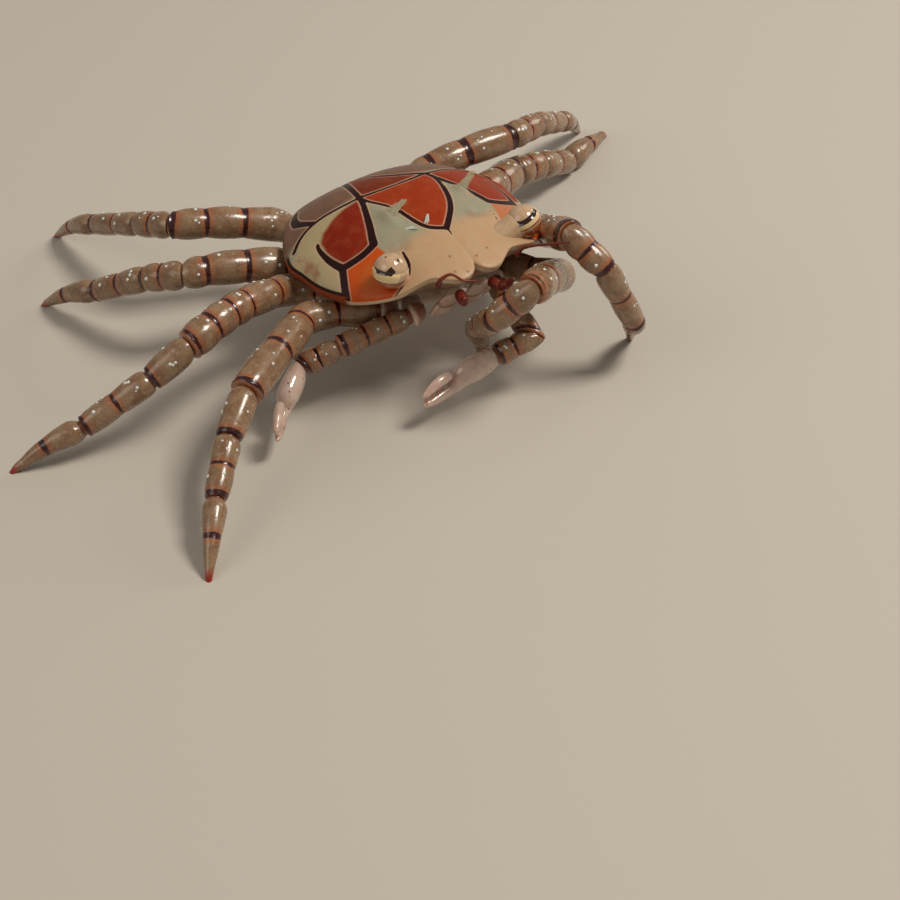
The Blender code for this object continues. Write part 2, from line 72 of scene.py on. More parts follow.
NOTCH = Vector((0, -6.25, 9.2))
NOTCH_PIXEL = (475, 262)                # where the photograph shows it, of 900 by 900
VIEW_HEADING, VIEW_HEIGHT = radians(-34), radians(39)
VIEW_DISTANCE = 170                     # mm
PIXELS_A_MM = 16.9                      # at that distance
FRAME_PIXELS, SENSOR = 900, 36

backward = Vector((sin(VIEW_HEADING) * cos(VIEW_HEIGHT), -cos(VIEW_HEADING) * cos(VIEW_HEIGHT),
                   sin(VIEW_HEIGHT)))
rightward = Vector((cos(VIEW_HEADING), sin(VIEW_HEADING), 0))
upward = backward.cross(rightward)
eye_point = Vector(BODY) + NOTCH + backward * VIEW_DISTANCE
eye_point -= rightward * ((NOTCH_PIXEL[0] - FRAME_PIXELS / 2) / PIXELS_A_MM)
eye_point += upward * ((NOTCH_PIXEL[1] - FRAME_PIXELS / 2) / PIXELS_A_MM)

lens = bpy.data.cameras.new("camera")
lens.sensor_width = SENSOR
lens.lens = SENSOR * PIXELS_A_MM * VIEW_DISTANCE / FRAME_PIXELS
lens.clip_start, lens.clip_end = 10 * MM, 3000 * MM
camera = bpy.data.objects.new("camera", lens)
turn = Matrix((rightward, upward, backward)).transposed().to_4x4()
turn.translation = eye_point * MM
camera.matrix_world = turn
scene.collection.objects.link(camera)
scene.camera = camera


# The studio: a matt floor, a pale sky and three soft square lamps turned to the crab. None
# stands where the flat of the back would mirror it to the camera.
class Shade:
    """One output in a material's node tree. Arithmetic on it adds the nodes it needs."""

    def __init__(self, tree, socket=None):
        self.tree = tree
        self.socket = socket

    def node(self, kind, settings=None, inputs=None, output=0):
        made = self.tree.nodes.new(kind)
        for name, value in (settings or {}).items():
            setattr(made, name, value)
        for name, value in (inputs or {}).items():
            if isinstance(value, Shade):
                self.tree.links.new(value.socket, made.inputs[name])
            else:
                made.inputs[name].default_value = value
        return Shade(self.tree, made.outputs[output])

    def maths(self, operation, *values):
        return self.node("ShaderNodeMath", {"operation": operation}, dict(enumerate(values)))

    def __add__(self, other):
        return self.maths("ADD", self, other)

    def __radd__(self, other):
        return self.maths("ADD", other, self)

    def __sub__(self, other):
        return self.maths("SUBTRACT", self, other)

    def __rsub__(self, other):
        return self.maths("SUBTRACT", other, self)

    def __mul__(self, other):
        return self.maths("MULTIPLY", self, other)

    def __rmul__(self, other):
        return self.maths("MULTIPLY", other, self)

    def rise(self, low, high):
        """0 below low and 1 above high, smooth between. With low above high it falls."""
        values = {"Value": self, "From Min": min(low, high), "From Max": max(low, high)}
        if low > high:
            values.update({"To Min": 1.0, "To Max": 0.0})
        return self.node("ShaderNodeMapRange", {"interpolation_type": "SMOOTHSTEP"}, values)

    def tint(self, share, colour):
        """This colour, going over to another by the share."""
        other = colour if isinstance(colour, Shade) else (*colour, 1)
        return self.node("ShaderNodeMix", {"data_type": "RGBA"}, {0: share, 6: self, 7: other}, 2)


class Finish:
    """A material with a Principled shader, whose constants go straight on its sockets."""

    def __init__(self, name, **constants):
        self.material = bpy.data.materials.new(name)
        self.material.use_nodes = True
        self.tree = self.material.node_tree
        self.shader = self.tree.nodes["Principled BSDF"]
        for socket, value in constants.items():
            self.shader.inputs[socket.replace("_", " ")].default_value = value
        self.start = Shade(self.tree)
        self.place = self.start.node("ShaderNodeTexCoord", output=3)

    def number(self, name):
        """A number that the mesh carries at each point."""
        return self.start.node("ShaderNodeAttribute", {"attribute_name": name}, output=2)

    def colour(self, rgb):
        both = {0: 0.0, 6: (*rgb, 1), 7: (*rgb, 1)}
        return self.start.node("ShaderNodeMix", {"data_type": "RGBA"}, both, 2)

    def cloud(self, size):
        """Smooth noise from 0 to 1, with patches of about this size in mm."""
        return self.start.node("ShaderNodeTexNoise", None,
                               {"Vector": self.place, "Scale": 1 / (size * MM), "Detail": 3.0})

    def cells(self, size):
        """Distance to scattered points about this size apart in mm."""
        return self.start.node("ShaderNodeTexVoronoi", None, {"Vector": self.place, "Scale": 1 / (size * MM)})

    def paint(self, **inputs):
        for socket, value in inputs.items():
            self.tree.links.new(value.socket, self.shader.inputs[socket.replace("_", " ")])

    def relief(self, height, depth):
        """Bump of this depth in mm."""
        self.paint(Normal=self.start.node("ShaderNodeBump", None,
                                          {"Height": height, "Distance": depth * MM, "Strength": 1.0}))


floor_finish = Finish("floor", Roughness=0.85)
floor_finish.paint(Base_Color=floor_finish.colour((0.54, 0.50, 0.44)).tint(
    floor_finish.cloud(60) * 0.3, (0.46, 0.42, 0.37)))
bpy.ops.mesh.primitive_plane_add(size=3000 * MM)
floor = bpy.context.object
floor.name = "floor"
floor.data.materials.append(floor_finish.material)

world = bpy.data.worlds.new("studio")
world.use_nodes = True
world.node_tree.nodes["Background"].inputs["Color"].default_value = (0.95, 0.90, 0.82, 1)
world.node_tree.nodes["Background"].inputs["Strength"].default_value = 0.24
scene.world = world
scene.view_settings.view_transform = "Standard"

LAMPS = {                               # heading, height in degrees, distance and side in mm, watts
    "key": (55, 60, 320, 90, 0.68),
    "rim": (95, 25, 340, 120, 0.20),
    "fill": (-95, 40, 340, 200, 0.20),
}
for name, (heading, height, distance, side, watts) in LAMPS.items():
    lamp = bpy.data.lights.new(name, "AREA")
    lamp.size = side * MM
    lamp.energy = watts
    lamp.color = (1.0, 0.93, 0.84)
    obj = bpy.data.objects.new(name, lamp)
    h, p = radians(heading), radians(height)
    away = Vector((sin(h) * cos(p), -cos(h) * cos(p), sin(p)))
    obj.location = (Vector(BODY) + away * distance) * MM
    obj.rotation_euler = away.to_track_quat("Z", "Y").to_euler()
    scene.collection.objects.link(obj)


# The carapace: one glossy plate of thin shell. It is lofted in rings from the middle of the
# back out to the rim and in under it, and hollowed round the eyes and the raised leg.
HUB_Y = 0.4
CROWN_Y, CROWN_Z, BELLY_Z = -0.5, 10.15, 6.35
ARCH_ACROSS, ARCH_ALONG = 0.034, 0.021  # fall of the back, times the square of the distance
REAR_FALL_Y, REAR_FALL = 3.0, 0.03      # where it falls faster to the rear, and how much
GAP = 0.3                               # between neighbouring solids
HALF_OUTLINE = [
    (0.0, -6.15), (0.28, -6.62), (0.85, -6.88), (1.5, -6.80), (2.05, -6.42), (2.75, -5.95), (3.6, -5.75),
    (4.7, -5.55), (5.6, -5.00), (6.4, -4.00), (7.1, -2.45), (7.6, -0.75), (7.75, 0.90),
    (7.9, 1.95), (7.5, 3.25), (6.7, 4.75), (5.6, 6.05), (4.4, 6.70), (2.5, 6.95), (0.0, 7.00)]
OUTLINE = [(atan2(x, -(y - HUB_Y)), sqrt(x**2 + (y - HUB_Y) ** 2)) for x, y in HALF_OUTLINE]
RIM = [(0.0, 9.05), (0.12, 8.80), (0.30, 8.85), (0.45, 8.90), (0.80, 8.05), (1.15, 7.15), (1.6, 6.80),
       (2.1, 6.95), (2.6, 7.15), (pi, 7.25)]
UNDER = [(0.0, 0.66), (0.7, 0.70), (1.3, 0.74), (2.2, 0.74), (pi, 0.78)]
EYE, STALK_ROOT = (4.95, -4.70, 9.65), (2.9, -5.35, 8.95)
CORNEA, STALK = 1.05, 0.62
ORBIT_SHARE, SOCKET = 0.86, 0.90        # where the socket starts along the stalk, its radius there
LEG_HOLLOW = ((-14, 3, 3.4), (-108, 31, 8.9))   # heading, pitch, length of the leg lying in it
LEG_HOLLOW_ROOT, LEG_HOLLOW_ROOM = (4.9, 0.3, 5.0), 0.95 * 1.07 + GAP

# Pits, dips and specks of the forehead and the low mounds that carry the setae, as places
# beside the middle line and behind the centre, with each mound's reach to the side and back.
# The pits are dented in, while the dips carry only painted shade, the shadow of the hollows there.
HOLLOWS = {"pit": ((2.7, -2.62), (-2.95, -2.92)), "dip": ((2.25, -2.68), (-3.3, -2.8)),
           "speck": ((-1.15, -5.25), (-1.45, -6.3), (0.35, -5.9), (-0.75, -6.62), (1.3, -5.6))}
MOUNDS = (((-2.35, -0.35), (0.38, 0.8)), ((3.15, -0.15), (0.38, 0.6)))
GROOVE_DEPTH, GROOVE_REACH, PIT_DEPTH, PIT_REACH, MOUND_HEIGHT = 0.045, 0.22, 0.22, 0.45, 0.30
BACK_BOTTOM_Z = 6.6                     # these lie on the plate's upper side, above this
# The dark lines of the back, as places in the same way, with the line's half width at each
# end. The first group is on both sides, the second on one.
FORK_REAR, FORK_FRONT, FORK_MIDDLE = (2.4, 2.7), (6.2, -1.35), (0.0, -3.24)
BEND = (4.12, -1.62)
BRIDGE = [(0.0, 2.32), (1.2, 2.38), FORK_REAR]
LEFT_ARM = [FORK_REAR, (2.56, 1.7), (2.32, 0.60)]
LEFT_HAND = [(2.32, 0.60), (1.94, -0.62), (1.36, -1.70), (0.61, -2.59), FORK_MIDDLE]
RIGHT_ARM = [(-2.4, 2.7), (-2.30, 1.93), (-2.05, 1.35), (-1.68, 0.55), (-1.44, -0.36)]
RIGHT_HAND = [(-1.44, -0.36), (-1.33, -1.33), (-1.16, -2.14), (-0.80, -2.78), FORK_MIDDLE]
LINES = [
    (BRIDGE, 0.075, 0.11),
    ([FORK_REAR, (2.62, 1.9), (3.05, 0.9), (3.45, -0.1), (3.88, -1.0), BEND], 0.15, 0.24),
    ([BEND, (4.85, -1.74), (5.55, -1.62), FORK_FRONT], 0.24, 0.22),
    ([FORK_FRONT, (6.38, -0.5), (6.40, 0.35), (6.32, 1.2), (6.2, 1.45)], 0.21, 0.10),
    ([FORK_FRONT, (6.5, -1.95), (6.78, -2.5), (7.05, -3.2)], 0.21, 0.20),
    ([FORK_REAR, (3.1, 2.75), (4.0, 2.98), (4.9, 3.22), (5.8, 3.30), (6.5, 3.10), (7.2, 2.6)], 0.10, 0.12),
    ([(5.3, 3.3), (5.55, 3.9), (5.75, 4.6)], 0.16, 0.26),
    ([(5.75, 4.6), (5.55, 5.35), (4.9, 6.05)], 0.26, 0.14),
    ([(3.80, -4.90), (4.20, -5.13), (4.60, -5.33), (5.60, -5.45)], 0.07, 0.03),
]
ONE_SIDE_LINES = [
    (LEFT_ARM, 0.08, 0.13),
    (LEFT_HAND, 0.15, 0.19),
    (RIGHT_ARM, 0.10, 0.09),
    (RIGHT_HAND, 0.13, 0.15),
    ([(-3.80, -4.85), (-3.52, -4.5), (-3.34, -4.15), (-3.28, -3.7), (-3.15, -3.25)], 0.13, 0.07),
    ([(3.13, -4.45), (3.28, -4.2)], 0.035, 0.04),
    ([(3.36, -3.98), (3.43, -3.7)], 0.04, 0.05),
    ([(3.48, -3.5), (3.52, -3.3)], 0.04, 0.04),
    ([(3.55, -3.1), (3.56, -2.95)], 0.04, 0.03),
    ([(3.55, -2.75), (3.53, -2.62)], 0.03, 0.03),
    ([(0.0, -3.24), (0.02, -3.6), (-0.06, -3.95)], 0.08, 0.02),
    ([(-2.4, 2.7), (-2.1, 4.2), (-1.5, 5.9), (-1.2, 6.7)], 0.17, 0.19),
    ([(2.4, 2.7), (1.7, 3.0), (0.5, 3.6), (-0.15, 4.5), (-0.7, 5.7), (-1.4, 6.3)], 0.13, 0.15),
]
# The coloured fields between the lines, as corners in the same places
ONE_SIDE_FIELDS = {
    "central": (BRIDGE[:2] + LEFT_ARM + LEFT_HAND[1:] + RIGHT_HAND[-2::-1] + RIGHT_ARM[-2::-1]
                + [(-1.2, 2.38)]),
    "heart": BRIDGE + [(1.7, 3.0), (0.5, 3.6), (-0.15, 4.5), (-0.7, 5.7), (-1.25, 6.5), (-1.5, 5.9),
                       (-2.1, 4.2), (-2.4, 2.7), (-1.2, 2.38)],
    "left_rust": [(2.7, 2.7), (3.15, 0.87), (3.88, -1.0), BEND, (4.85, -1.74), (5.9, -1.5), (6.9, -0.9),
                  (7.6, 0.6), (7.7, 2.2), (6.8, 3.3), (5.8, 3.25), (4.0, 2.95)],
    "salmon": [(4.2, -1.9), (4.9, -1.95), (6.2, -1.7), (7.2, -3.2), (6.6, -4.6), (3.5, -4.6), (3.9, -2.6)],
}
FIELDS = {
    "branchial": [FORK_REAR, (3.05, 0.9), (3.88, -1.0), BEND, FORK_FRONT, (6.4, 0.35), (7.2, 2.6),
                  (5.8, 3.3), (4.0, 2.98)],
    "rust": [(2.5, 2.55), (3.15, 0.87), (3.73, -1.02), BEND, (4.79, -1.66), (5.64, -1.62), (6.08, -1.35),
             (6.27, -0.37), (6.29, 0.46), (6.12, 1.3), (5.64, 1.83), (4.81, 2.22), (3.92, 2.52)],
    "cheek": [BEND, FORK_FRONT, (7.05, -3.2), (7.2, -4.6), (5.6, -5.45), (4.6, -5.35), (3.8, -4.9),
              (3.5, -4.5), (4.0, -2.6)],
    "flank": [FORK_FRONT, (6.4, 0.35), (6.9, 2.2), (9.0, 2.2), (9.0, -3.2), (7.05, -3.2)],
}


def bend_between(t, width, y0, y1, slope0, slope1):
    """The smooth curve between two points, at a share t of the width from one to the other."""
    return ((2 * t**3 - 3 * t**2 + 1) * y0 + (t**3 - 2 * t**2 + t) * width * slope0
            + (3 * t**2 - 2 * t**3) * y1 + (t**3 - t**2) * width * slope1)


def smooth_through(points, x):
    """A smooth curve through (x, y) points, with the slope of the neighbours at each."""
    last = len(points) - 1
    i = next(k for k in range(last) if x <= points[k + 1][0] or k == last - 1)
    (x0, y0), (x1, y1) = points[i], points[i + 1]
    before, after = points[max(i - 1, 0)], points[min(i + 2, last)]
    t = min(max((x - x0) / (x1 - x0), 0), 1)
    return bend_between(t, x1 - x0, y0, y1, (y1 - before[1]) / (x1 - before[0]),
                        (after[1] - y0) / (after[0] - x0))


def rounded(corners, rounds=3):
    """An open line with its corners cut round and its ends kept."""
    line = np.array(corners, float)
    for _ in range(rounds):
        a, b = line[:-1], line[1:]
        cut = np.stack([a * 0.75 + b * 0.25, a * 0.25 + b * 0.75], 1).reshape(-1, line.shape[1])
        line = np.concatenate([line[:1], cut, line[-1:]])
    return line


def off_segment(places, a, b):
    """How far each place lies from the straight line from a to b, and how far along it."""
    share = np.clip((places - a) @ (b - a) / ((b - a) @ (b - a)), 0, 1)
    return np.linalg.norm(places - a - share[:, None] * (b - a), axis=1), share


def off_line(places, corners, half_start, half_end):
    """How far each place lies outside a line that has width, in mm."""
    line = rounded(corners)
    steps = np.linalg.norm(np.diff(line, axis=0), axis=1)
    along = np.concatenate([[0], np.cumsum(steps)])
    nearest = np.full(len(places), 1e9)
    for k, length in enumerate(steps):
        gap, share = off_segment(places, line[k], line[k + 1])
        at = (along[k] + share * length) / along[-1]
        nearest = np.minimum(nearest, gap - (half_start + (half_end - half_start) * at))
    return nearest


def inside_field(places, corners):
    """How far each place lies inside a closed field, in mm, and less than 0 outside."""
    ring = np.array(corners, float)
    inside = np.zeros(len(places), bool)
    gap = np.full(len(places), 1e9)
    for a, b in zip(ring, np.roll(ring, -1, 0)):
        gap = np.minimum(gap, off_segment(places, a, b)[0])
        crosses = (a[1] > places[:, 1]) != (b[1] > places[:, 1])
        if a[1] != b[1]:
            slope = (b[0] - a[0]) / (b[1] - a[1])
            inside ^= crosses & (places[:, 0] < a[0] + (places[:, 1] - a[1]) * slope)
    return np.where(inside, gap, -gap)


def line_gap(places):
    """Distance outside the dark lines of the back, for places in the shell's own plan."""
    folded = np.stack([abs(places[:, 0]), places[:, 1]], 1)
    gaps = [off_line(folded, *line) for line in LINES]
    gaps += [off_line(places, *line) for line in ONE_SIDE_LINES]
    return np.min(gaps, axis=0)


def loft(rows):
    """Points and faces of a closed tube through rows of points, each row of the same count."""
    rows = np.asarray(rows, float)
    count, around = rows.shape[:2]
    points = rows.reshape(-1, 3)
    faces = []
    for k in range(count - 1):
        low, high = k * around, (k + 1) * around
        for i in range(around):
            j = (i + 1) % around
            faces.append((low + i, low + j, high + j, high + i))
    for i in range(around):
        j = (i + 1) % around
        faces.append((j, i, len(points)))
        faces.append((len(points) - around + i, len(points) - around + j, len(points) + 1))
    return np.concatenate([points, [rows[0].mean(0), rows[-1].mean(0)]]), faces


def piece(name, points, faces, finish, crease=50, **numbers):
    """A smooth object from points in the body's own frame in mm, with its numbers on it."""
    mesh = bpy.data.meshes.new(name)
    mesh.from_pydata(((np.asarray(points) + BODY) * MM).tolist(), [], faces)
    mesh.validate()
    for key, values in numbers.items():
        mesh.attributes.new(key, "FLOAT", "POINT").data.foreach_set("value", np.asarray(values, np.float32))
    mesh.materials.append(finish.material)
    mesh.shade_smooth()
    mesh.set_sharp_from_angle(angle=radians(crease))
    obj = bpy.data.objects.new(name, mesh)
    scene.collection.objects.link(obj)
    return obj


def fit(obj, node):
    """Puts a surface in the place of its solid, on the one body of the still model."""
    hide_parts(node)
    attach(obj, "root")


def on_side(point, side):
    return Vector((point[0] if side == "L" else -point[0], point[1], point[2]))


def aim(heading, pitch):
    h, p = radians(heading), radians(pitch)
    return Vector((cos(p) * cos(h), cos(p) * sin(h), sin(p)))


def round_rod(a, b, radius_a, radius_b, rings=12, sides=36):
    """Rows of points of a round-ended rod from a to b."""
    way = (b - a).normalized()
    across = way.cross(Vector((0, 0, 1))).normalized()
    over = across.cross(way)
    rows = []
    for centre, radius, end in ((a, radius_a, -1), (b, radius_b, 1)):
        steps = range(1, rings + 1) if end < 0 else range(rings, 0, -1)
        for i in steps:
            lift = (pi / 2) * i / rings
            rows.append([centre + way * (end * radius * cos(lift))
                         + (across * cos(w) + over * sin(w)) * (radius * sin(lift))
                         for w in (2 * pi * k / sides for k in range(sides))])
    return rows


def back_height(x, y):
    """Height of the back there, before it turns down to the rim."""
    rear = np.maximum(y - REAR_FALL_Y, 0)
    return CROWN_Z - ARCH_ACROSS * x**2 - ARCH_ALONG * (y - CROWN_Y) ** 2 - REAR_FALL * rear**2


def shell_rows(around, levels):
    """Rings of the carapace from the middle of the back out over the rim and under it."""
    side = abs(around)
    reach = np.array([smooth_through(OUTLINE, a) for a in side])
    rim = np.array([smooth_through(RIM, a) for a in side])
    under = np.array([smooth_through(UNDER, a) for a in side])
    rows = []
    for t in levels:
        x, y = reach * t * np.sin(around), HUB_Y - reach * t * np.cos(around)
        top = back_height(x, y)
        rows.append(np.stack([x, y, rim + (top - rim) * (1 - t**4.5) ** 0.5], 1))
    for t, below in ((0.996, 0.10), (0.985, 0.32), (0.962, 0.48), (0.93, 0.62)):
        x, y = reach * t * np.sin(around), HUB_Y - reach * t * np.cos(around)
        rows.append(np.stack([x, y, rim - below], 1))
    for t in (0.96, 0.6, 0.3, 0.05):
        x, y = reach * under * t * np.sin(around), HUB_Y - reach * under * t * np.cos(around)
        rows.append(np.stack([x, y, np.full_like(x, BELLY_Z)], 1))
    return rows


around = np.arange(400) * 2 * pi / 400 - pi
levels = np.sin(np.linspace(0.03, 1, 84) * pi / 2)
points, faces = loft(shell_rows(around, levels))
# Each dark line lies in a shallow groove
dip = GROOVE_DEPTH * np.exp(-np.maximum(line_gap(points[:, :2]), 0) / GROOVE_REACH)
for place in HOLLOWS["pit"]:
    away = np.linalg.norm(points[:, :2] - np.array(place), axis=1)
    dip = dip + PIT_DEPTH * np.exp(-(away / PIT_REACH) ** 2)
for (x, y), (wide, deep) in MOUNDS:
    away = ((points[:, 0] - x) / wide) ** 2 + ((points[:, 1] - y) / deep) ** 2
    dip = dip - MOUND_HEIGHT * np.exp(-away)
points[:, 2] -= np.where(points[:, 2] > BACK_BOTTOM_Z, dip, 0)

shell_finish = Finish("shell", Roughness=0.4, Specular_IOR_Level=0.22, Coat_Weight=0.04, Coat_Roughness=0.12,
                      Subsurface_Weight=0.1, Subsurface_Scale=0.3 * MM)
shell = piece("carapace_shell", points, faces, shell_finish)
tools = bpy.data.collections.new("tools")
for side in ("L", "R"):
    eye = on_side(EYE, side)
    shape = round_rod(on_side(STALK_ROOT, side).lerp(eye, ORBIT_SHARE), eye, SOCKET, CORNEA + GAP * 0.4)
    tools.objects.link(piece("orbit", *loft(shape), shell_finish))
start = Vector(LEG_HOLLOW_ROOT) + aim(*LEG_HOLLOW[0][:2]) * LEG_HOLLOW[0][2]
end = start + aim(*LEG_HOLLOW[1][:2]) * LEG_HOLLOW[1][2] * 0.7
shape = round_rod(start, end, LEG_HOLLOW_ROOM, LEG_HOLLOW_ROOM)
tools.objects.link(piece("leg_hollow", *loft(shape), shell_finish))
for tool in tools.objects:
    scene.collection.objects.unlink(tool)
cut = shell.modifiers.new("cut", "BOOLEAN")
cut.operand_type = "COLLECTION"
cut.collection = tools
bpy.context.view_layer.update()
shell.data = bpy.data.meshes.new_from_object(shell.evaluated_get(bpy.context.evaluated_depsgraph_get()))
shell.modifiers.clear()
for tool in list(tools.objects):
    bpy.data.objects.remove(tool)
shell.data.shade_smooth()
shell.data.set_sharp_from_angle(angle=radians(50))

# The markings, and the painted shade at the dips, are numbers at each point of the finished plate
points = np.array([v.co for v in shell.data.vertices]) / MM - BODY
plan = points[:, :2]
folded = np.stack([abs(plan[:, 0]), plan[:, 1]], 1)
angles = np.arctan2(folded[:, 0], HUB_Y - folded[:, 1])
rim_z = np.array([smooth_through(RIM, a) for a in angles])
marks = {"line": line_gap(plan), "above_rim": points[:, 2] - rim_z, "behind": folded[:, 1]}
marks.update({key: inside_field(plan, corners) for key, corners in ONE_SIDE_FIELDS.items()})
for name, places in HOLLOWS.items():
    marks[name] = np.min([np.linalg.norm(plan - np.array(place), axis=1) for place in places], axis=0)
marks.update({key: inside_field(folded, corners) for key, corners in FIELDS.items()})
for key, values in marks.items():
    shell.data.attributes.new(key, "FLOAT", "POINT").data.foreach_set("value", values.astype(np.float32))

LINE_COLOUR, LINE_EDGE = (0.018, 0.002, 0.002), (0.60, 0.38, 0.26)
BLUE_GREY, FOREHEAD = (0.32, 0.31, 0.215), (0.49, 0.325, 0.185)
CENTRAL_RED, RUST, FLANK_GREY = (0.31, 0.028, 0.001), (0.22, 0.0115, 0.0), (0.43, 0.35, 0.20)
CHEEK_ORANGE, HEART_RED, REAR_GREY = (0.56, 0.075, 0.003), (0.16, 0.017, 0.003), (0.165, 0.088, 0.058)
SALMON, LEFT_RUST, SPECK_BROWN = (0.48, 0.17, 0.07), (0.27, 0.020, 0.002), (0.12, 0.06, 0.035)
MARGIN_BROWN, MARGIN_CREAM, UNDER_BROWN = (0.24, 0.045, 0.014), (0.60, 0.47, 0.30), (0.34, 0.20, 0.12)
f = shell_finish
mottle = f.cloud(0.8)
fine = f.cloud(0.16)
behind = f.number("behind")
coat = f.colour(REAR_GREY).tint(behind.rise(3.4, 2.4), BLUE_GREY)
coat = coat.tint((behind + mottle * 0.8).rise(-1.9, -3.0), FOREHEAD)
coat = coat.tint(mottle.rise(0.5, 0.8) * 0.35 * behind.rise(-2.2, -3.2), (0.50, 0.25, 0.16))
# Painted shade: grey-brown smudges at the two dips beside the eyes, for the shadow in the hollows there
coat = coat.tint(f.number("dip").rise(0.75, 0.1) * 0.5, (0.22, 0.17, 0.12))
coat = coat.tint((f.number("speck") + fine * 0.12).rise(0.20, 0.10) * 0.7, SPECK_BROWN)
for name, field_colour in (("heart", HEART_RED), ("central", CENTRAL_RED), ("flank", FLANK_GREY)):
    coat = coat.tint(f.number(name).rise(-0.05, 0.05), field_colour)
rust_spot = f.number("flank").rise(0.0, 0.6) * f.cloud(1.2).rise(0.5, 0.68) * 0.5
coat = coat.tint(rust_spot, RUST)
coat = coat.tint(f.number("branchial").rise(-0.05, 0.05), FLANK_GREY)
coat = coat.tint((f.number("rust") + (mottle - 0.5) * 0.25).rise(-0.12, 0.22), RUST)
coat = coat.tint(f.number("cheek").rise(-0.05, 0.1), CHEEK_ORANGE)
coat = coat.tint(f.number("cheek").rise(0.5, 1.3) * 0.6, (0.46, 0.11, 0.012))
coat = coat.tint(f.number("salmon").rise(-0.1, 0.2), SALMON)
coat = coat.tint(f.number("left_rust").rise(-0.1, 0.1), LEFT_RUST)
coat = coat.tint(mottle.rise(0.35, 0.9) * 0.15, (0.62, 0.22, 0.07))
coat = coat.tint(fine.rise(0.55, 0.8) * 0.15, (0.12, 0.03, 0.02))
line = f.number("line") + (fine - 0.5) * 0.05
coat = coat.tint(line.rise(0.14, 0.03) * 0.6, LINE_EDGE)
on_top = f.number("above_rim").rise(-0.12, 0.02)
coat = coat.tint(line.rise(0.03, -0.02) * on_top, LINE_COLOUR)
rim_line, ahead = f.number("above_rim"), behind.rise(-2.6, -3.1)
coat = coat.tint(rim_line.rise(-0.04, -0.10), MARGIN_BROWN)
coat = coat.tint(rim_line.rise(-0.04, -0.10) * ahead, MARGIN_CREAM)
coat = coat.tint(rim_line.rise(-0.34, -0.5) * ahead, UNDER_BROWN)
beside = (1 - ahead) * behind.rise(3.2, 2.6)
coat = coat.tint(rim_line.rise(0.30, 0.22) * beside, MARGIN_BROWN)
coat = coat.tint(rim_line.rise(0.40, 0.34) * rim_line.rise(0.16, 0.22) * beside, LINE_COLOUR)
f.paint(Base_Color=coat, Roughness=(fine * 0.22 + 0.3))
f.relief(fine * 0.5 + f.cells(0.22).rise(0.0, 0.6) * 0.5, 0.012)
fit(shell, "carapace")


# The walking legs: beaded, glassy segments with a dark ring at each joint and between beads.
# A segment is one tube of rows along its axis, with white pearls set on its upper side and a
# ball of orange joint skin at its root. The pearls are white tubercles and also painted
# highlights, standing for the small glints on the beads' lit upper side.
LEG_ROOT = {2: (4.4, -2.2, 5.0), 3: (4.9, 0.3, 5.0), 4: (4.6, 2.9, 5.0), 5: (3.4, 5.2, 5.1)}
LEG_LENGTH = {2: (4.2, 8.0, 3.1, 4.0, 4.9), 3: (3.4, 8.9, 2.9, 4.9, 4.9),
              4: (2.5, 6.6, 2.9, 4.4, 5.1), 5: (3.6, 6.9, 3.2, 4.7, 5.1)}
LEG_RADIUS = {"ischium": 0.86, "carpus": 0.88, "propodus": 0.80, "dactylus": 0.62}
MERUS_RADIUS = {2: (0.98, 1.04), 3: (0.95, 1.00), 4: (1.13, 0.92), 5: (1.02, 0.92)}
MERUS_BOW = {"2_R": 0.2, "3_R": 0.8, "4_R": 0.3, "5_R": 0.2,
             "5_L": 0.25, "4_L": 0.0, "3_L": 0.0, "2_L": 0.2}
FOOT = 0.2
LEG_POSE = {
    "2_R": ((159, 4), (211, -2), (218, -22), (227, -23), 233),
    "3_R": ((143, 3), (195, 4), (175, -31), (170, -27), 167),
    "4_R": ((140, 3), (164, 7), (122, -21), (119, -30), 115),
    "5_R": ((110, 1), (158, 8), (106, -22), (104, -25), 102),
    "5_L": ((54, 5), (-4, 6), (22, -13), (32, -28), 35),
    "4_L": ((31, 3), (29, -14), (15, -16), (25, -26), 25),
    "3_L": ((-14, 3), (-108, 31), (-63, -35), (-17, -65), 56),
    "2_L": ((-57, 4), (-140, 28), (-209, -43), (-285, -40), 40),
}
# Rings of each leg's long segment, as shares of it from the bend to the knee, with the
# half width in mm, then those of the shorter segments, alike on all legs
MERUS_RINGS = {
    "2_R": ((0.14, 0.08), (0.50, 0.13), (0.97, 0.14)),
    "3_R": ((0.20, 0.06), (0.47, 0.07), (0.61, 0.08), (0.78, 0.11), (0.97, 0.11)),
    "4_R": ((0.05, 0.08), (0.43, 0.15), (0.80, 0.13)), "5_R": ((0.35, 0.15), (0.69, 0.12), (0.97, 0.17)),
    "5_L": ((0.13, 0.17), (0.49, 0.22), (0.97, 0.24)), "4_L": ((0.30, 0.16), (0.62, 0.10), (0.97, 0.28)),
    "3_L": ((0.22, 0.10), (0.58, 0.11), (0.96, 0.26)), "2_L": ((0.30, 0.08), (0.62, 0.10), (0.97, 0.12)),
}
CARPUS_RINGS = ((0.45, 0.085), (0.96, 0.11))
PLAIN_CARPUS = ("2_R", "3_R")           # these have no ring but the last
PROPODUS_RINGS = ((0.46, 0.095), (0.96, 0.12))
DACTYLUS_RINGS = ((0.50, 0.14),)
PEARL_RADIUS = 0.13
JOINT_GAP = 0.14
draws = np.random.default_rng(7)


def spread(controls, count):
    """Points and radii along a smooth curve through the controls, evenly spaced by share."""
    controls = np.asarray(controls, float)
    steps = np.linalg.norm(np.diff(controls[:, :3], axis=0), axis=1)
    at = np.concatenate([[0], np.cumsum(steps)])
    wanted = np.linspace(0, at[-1], count)
    columns = []
    for column in controls.T:
        slopes = np.gradient(column, at)
        k = np.clip(np.searchsorted(at, wanted) - 1, 0, len(at) - 2)
        width = at[k + 1] - at[k]
        columns.append(bend_between((wanted - at[k]) / width, width, column[k], column[k + 1],
                                    slopes[k], slopes[k + 1]))
    return np.array(columns).T, wanted


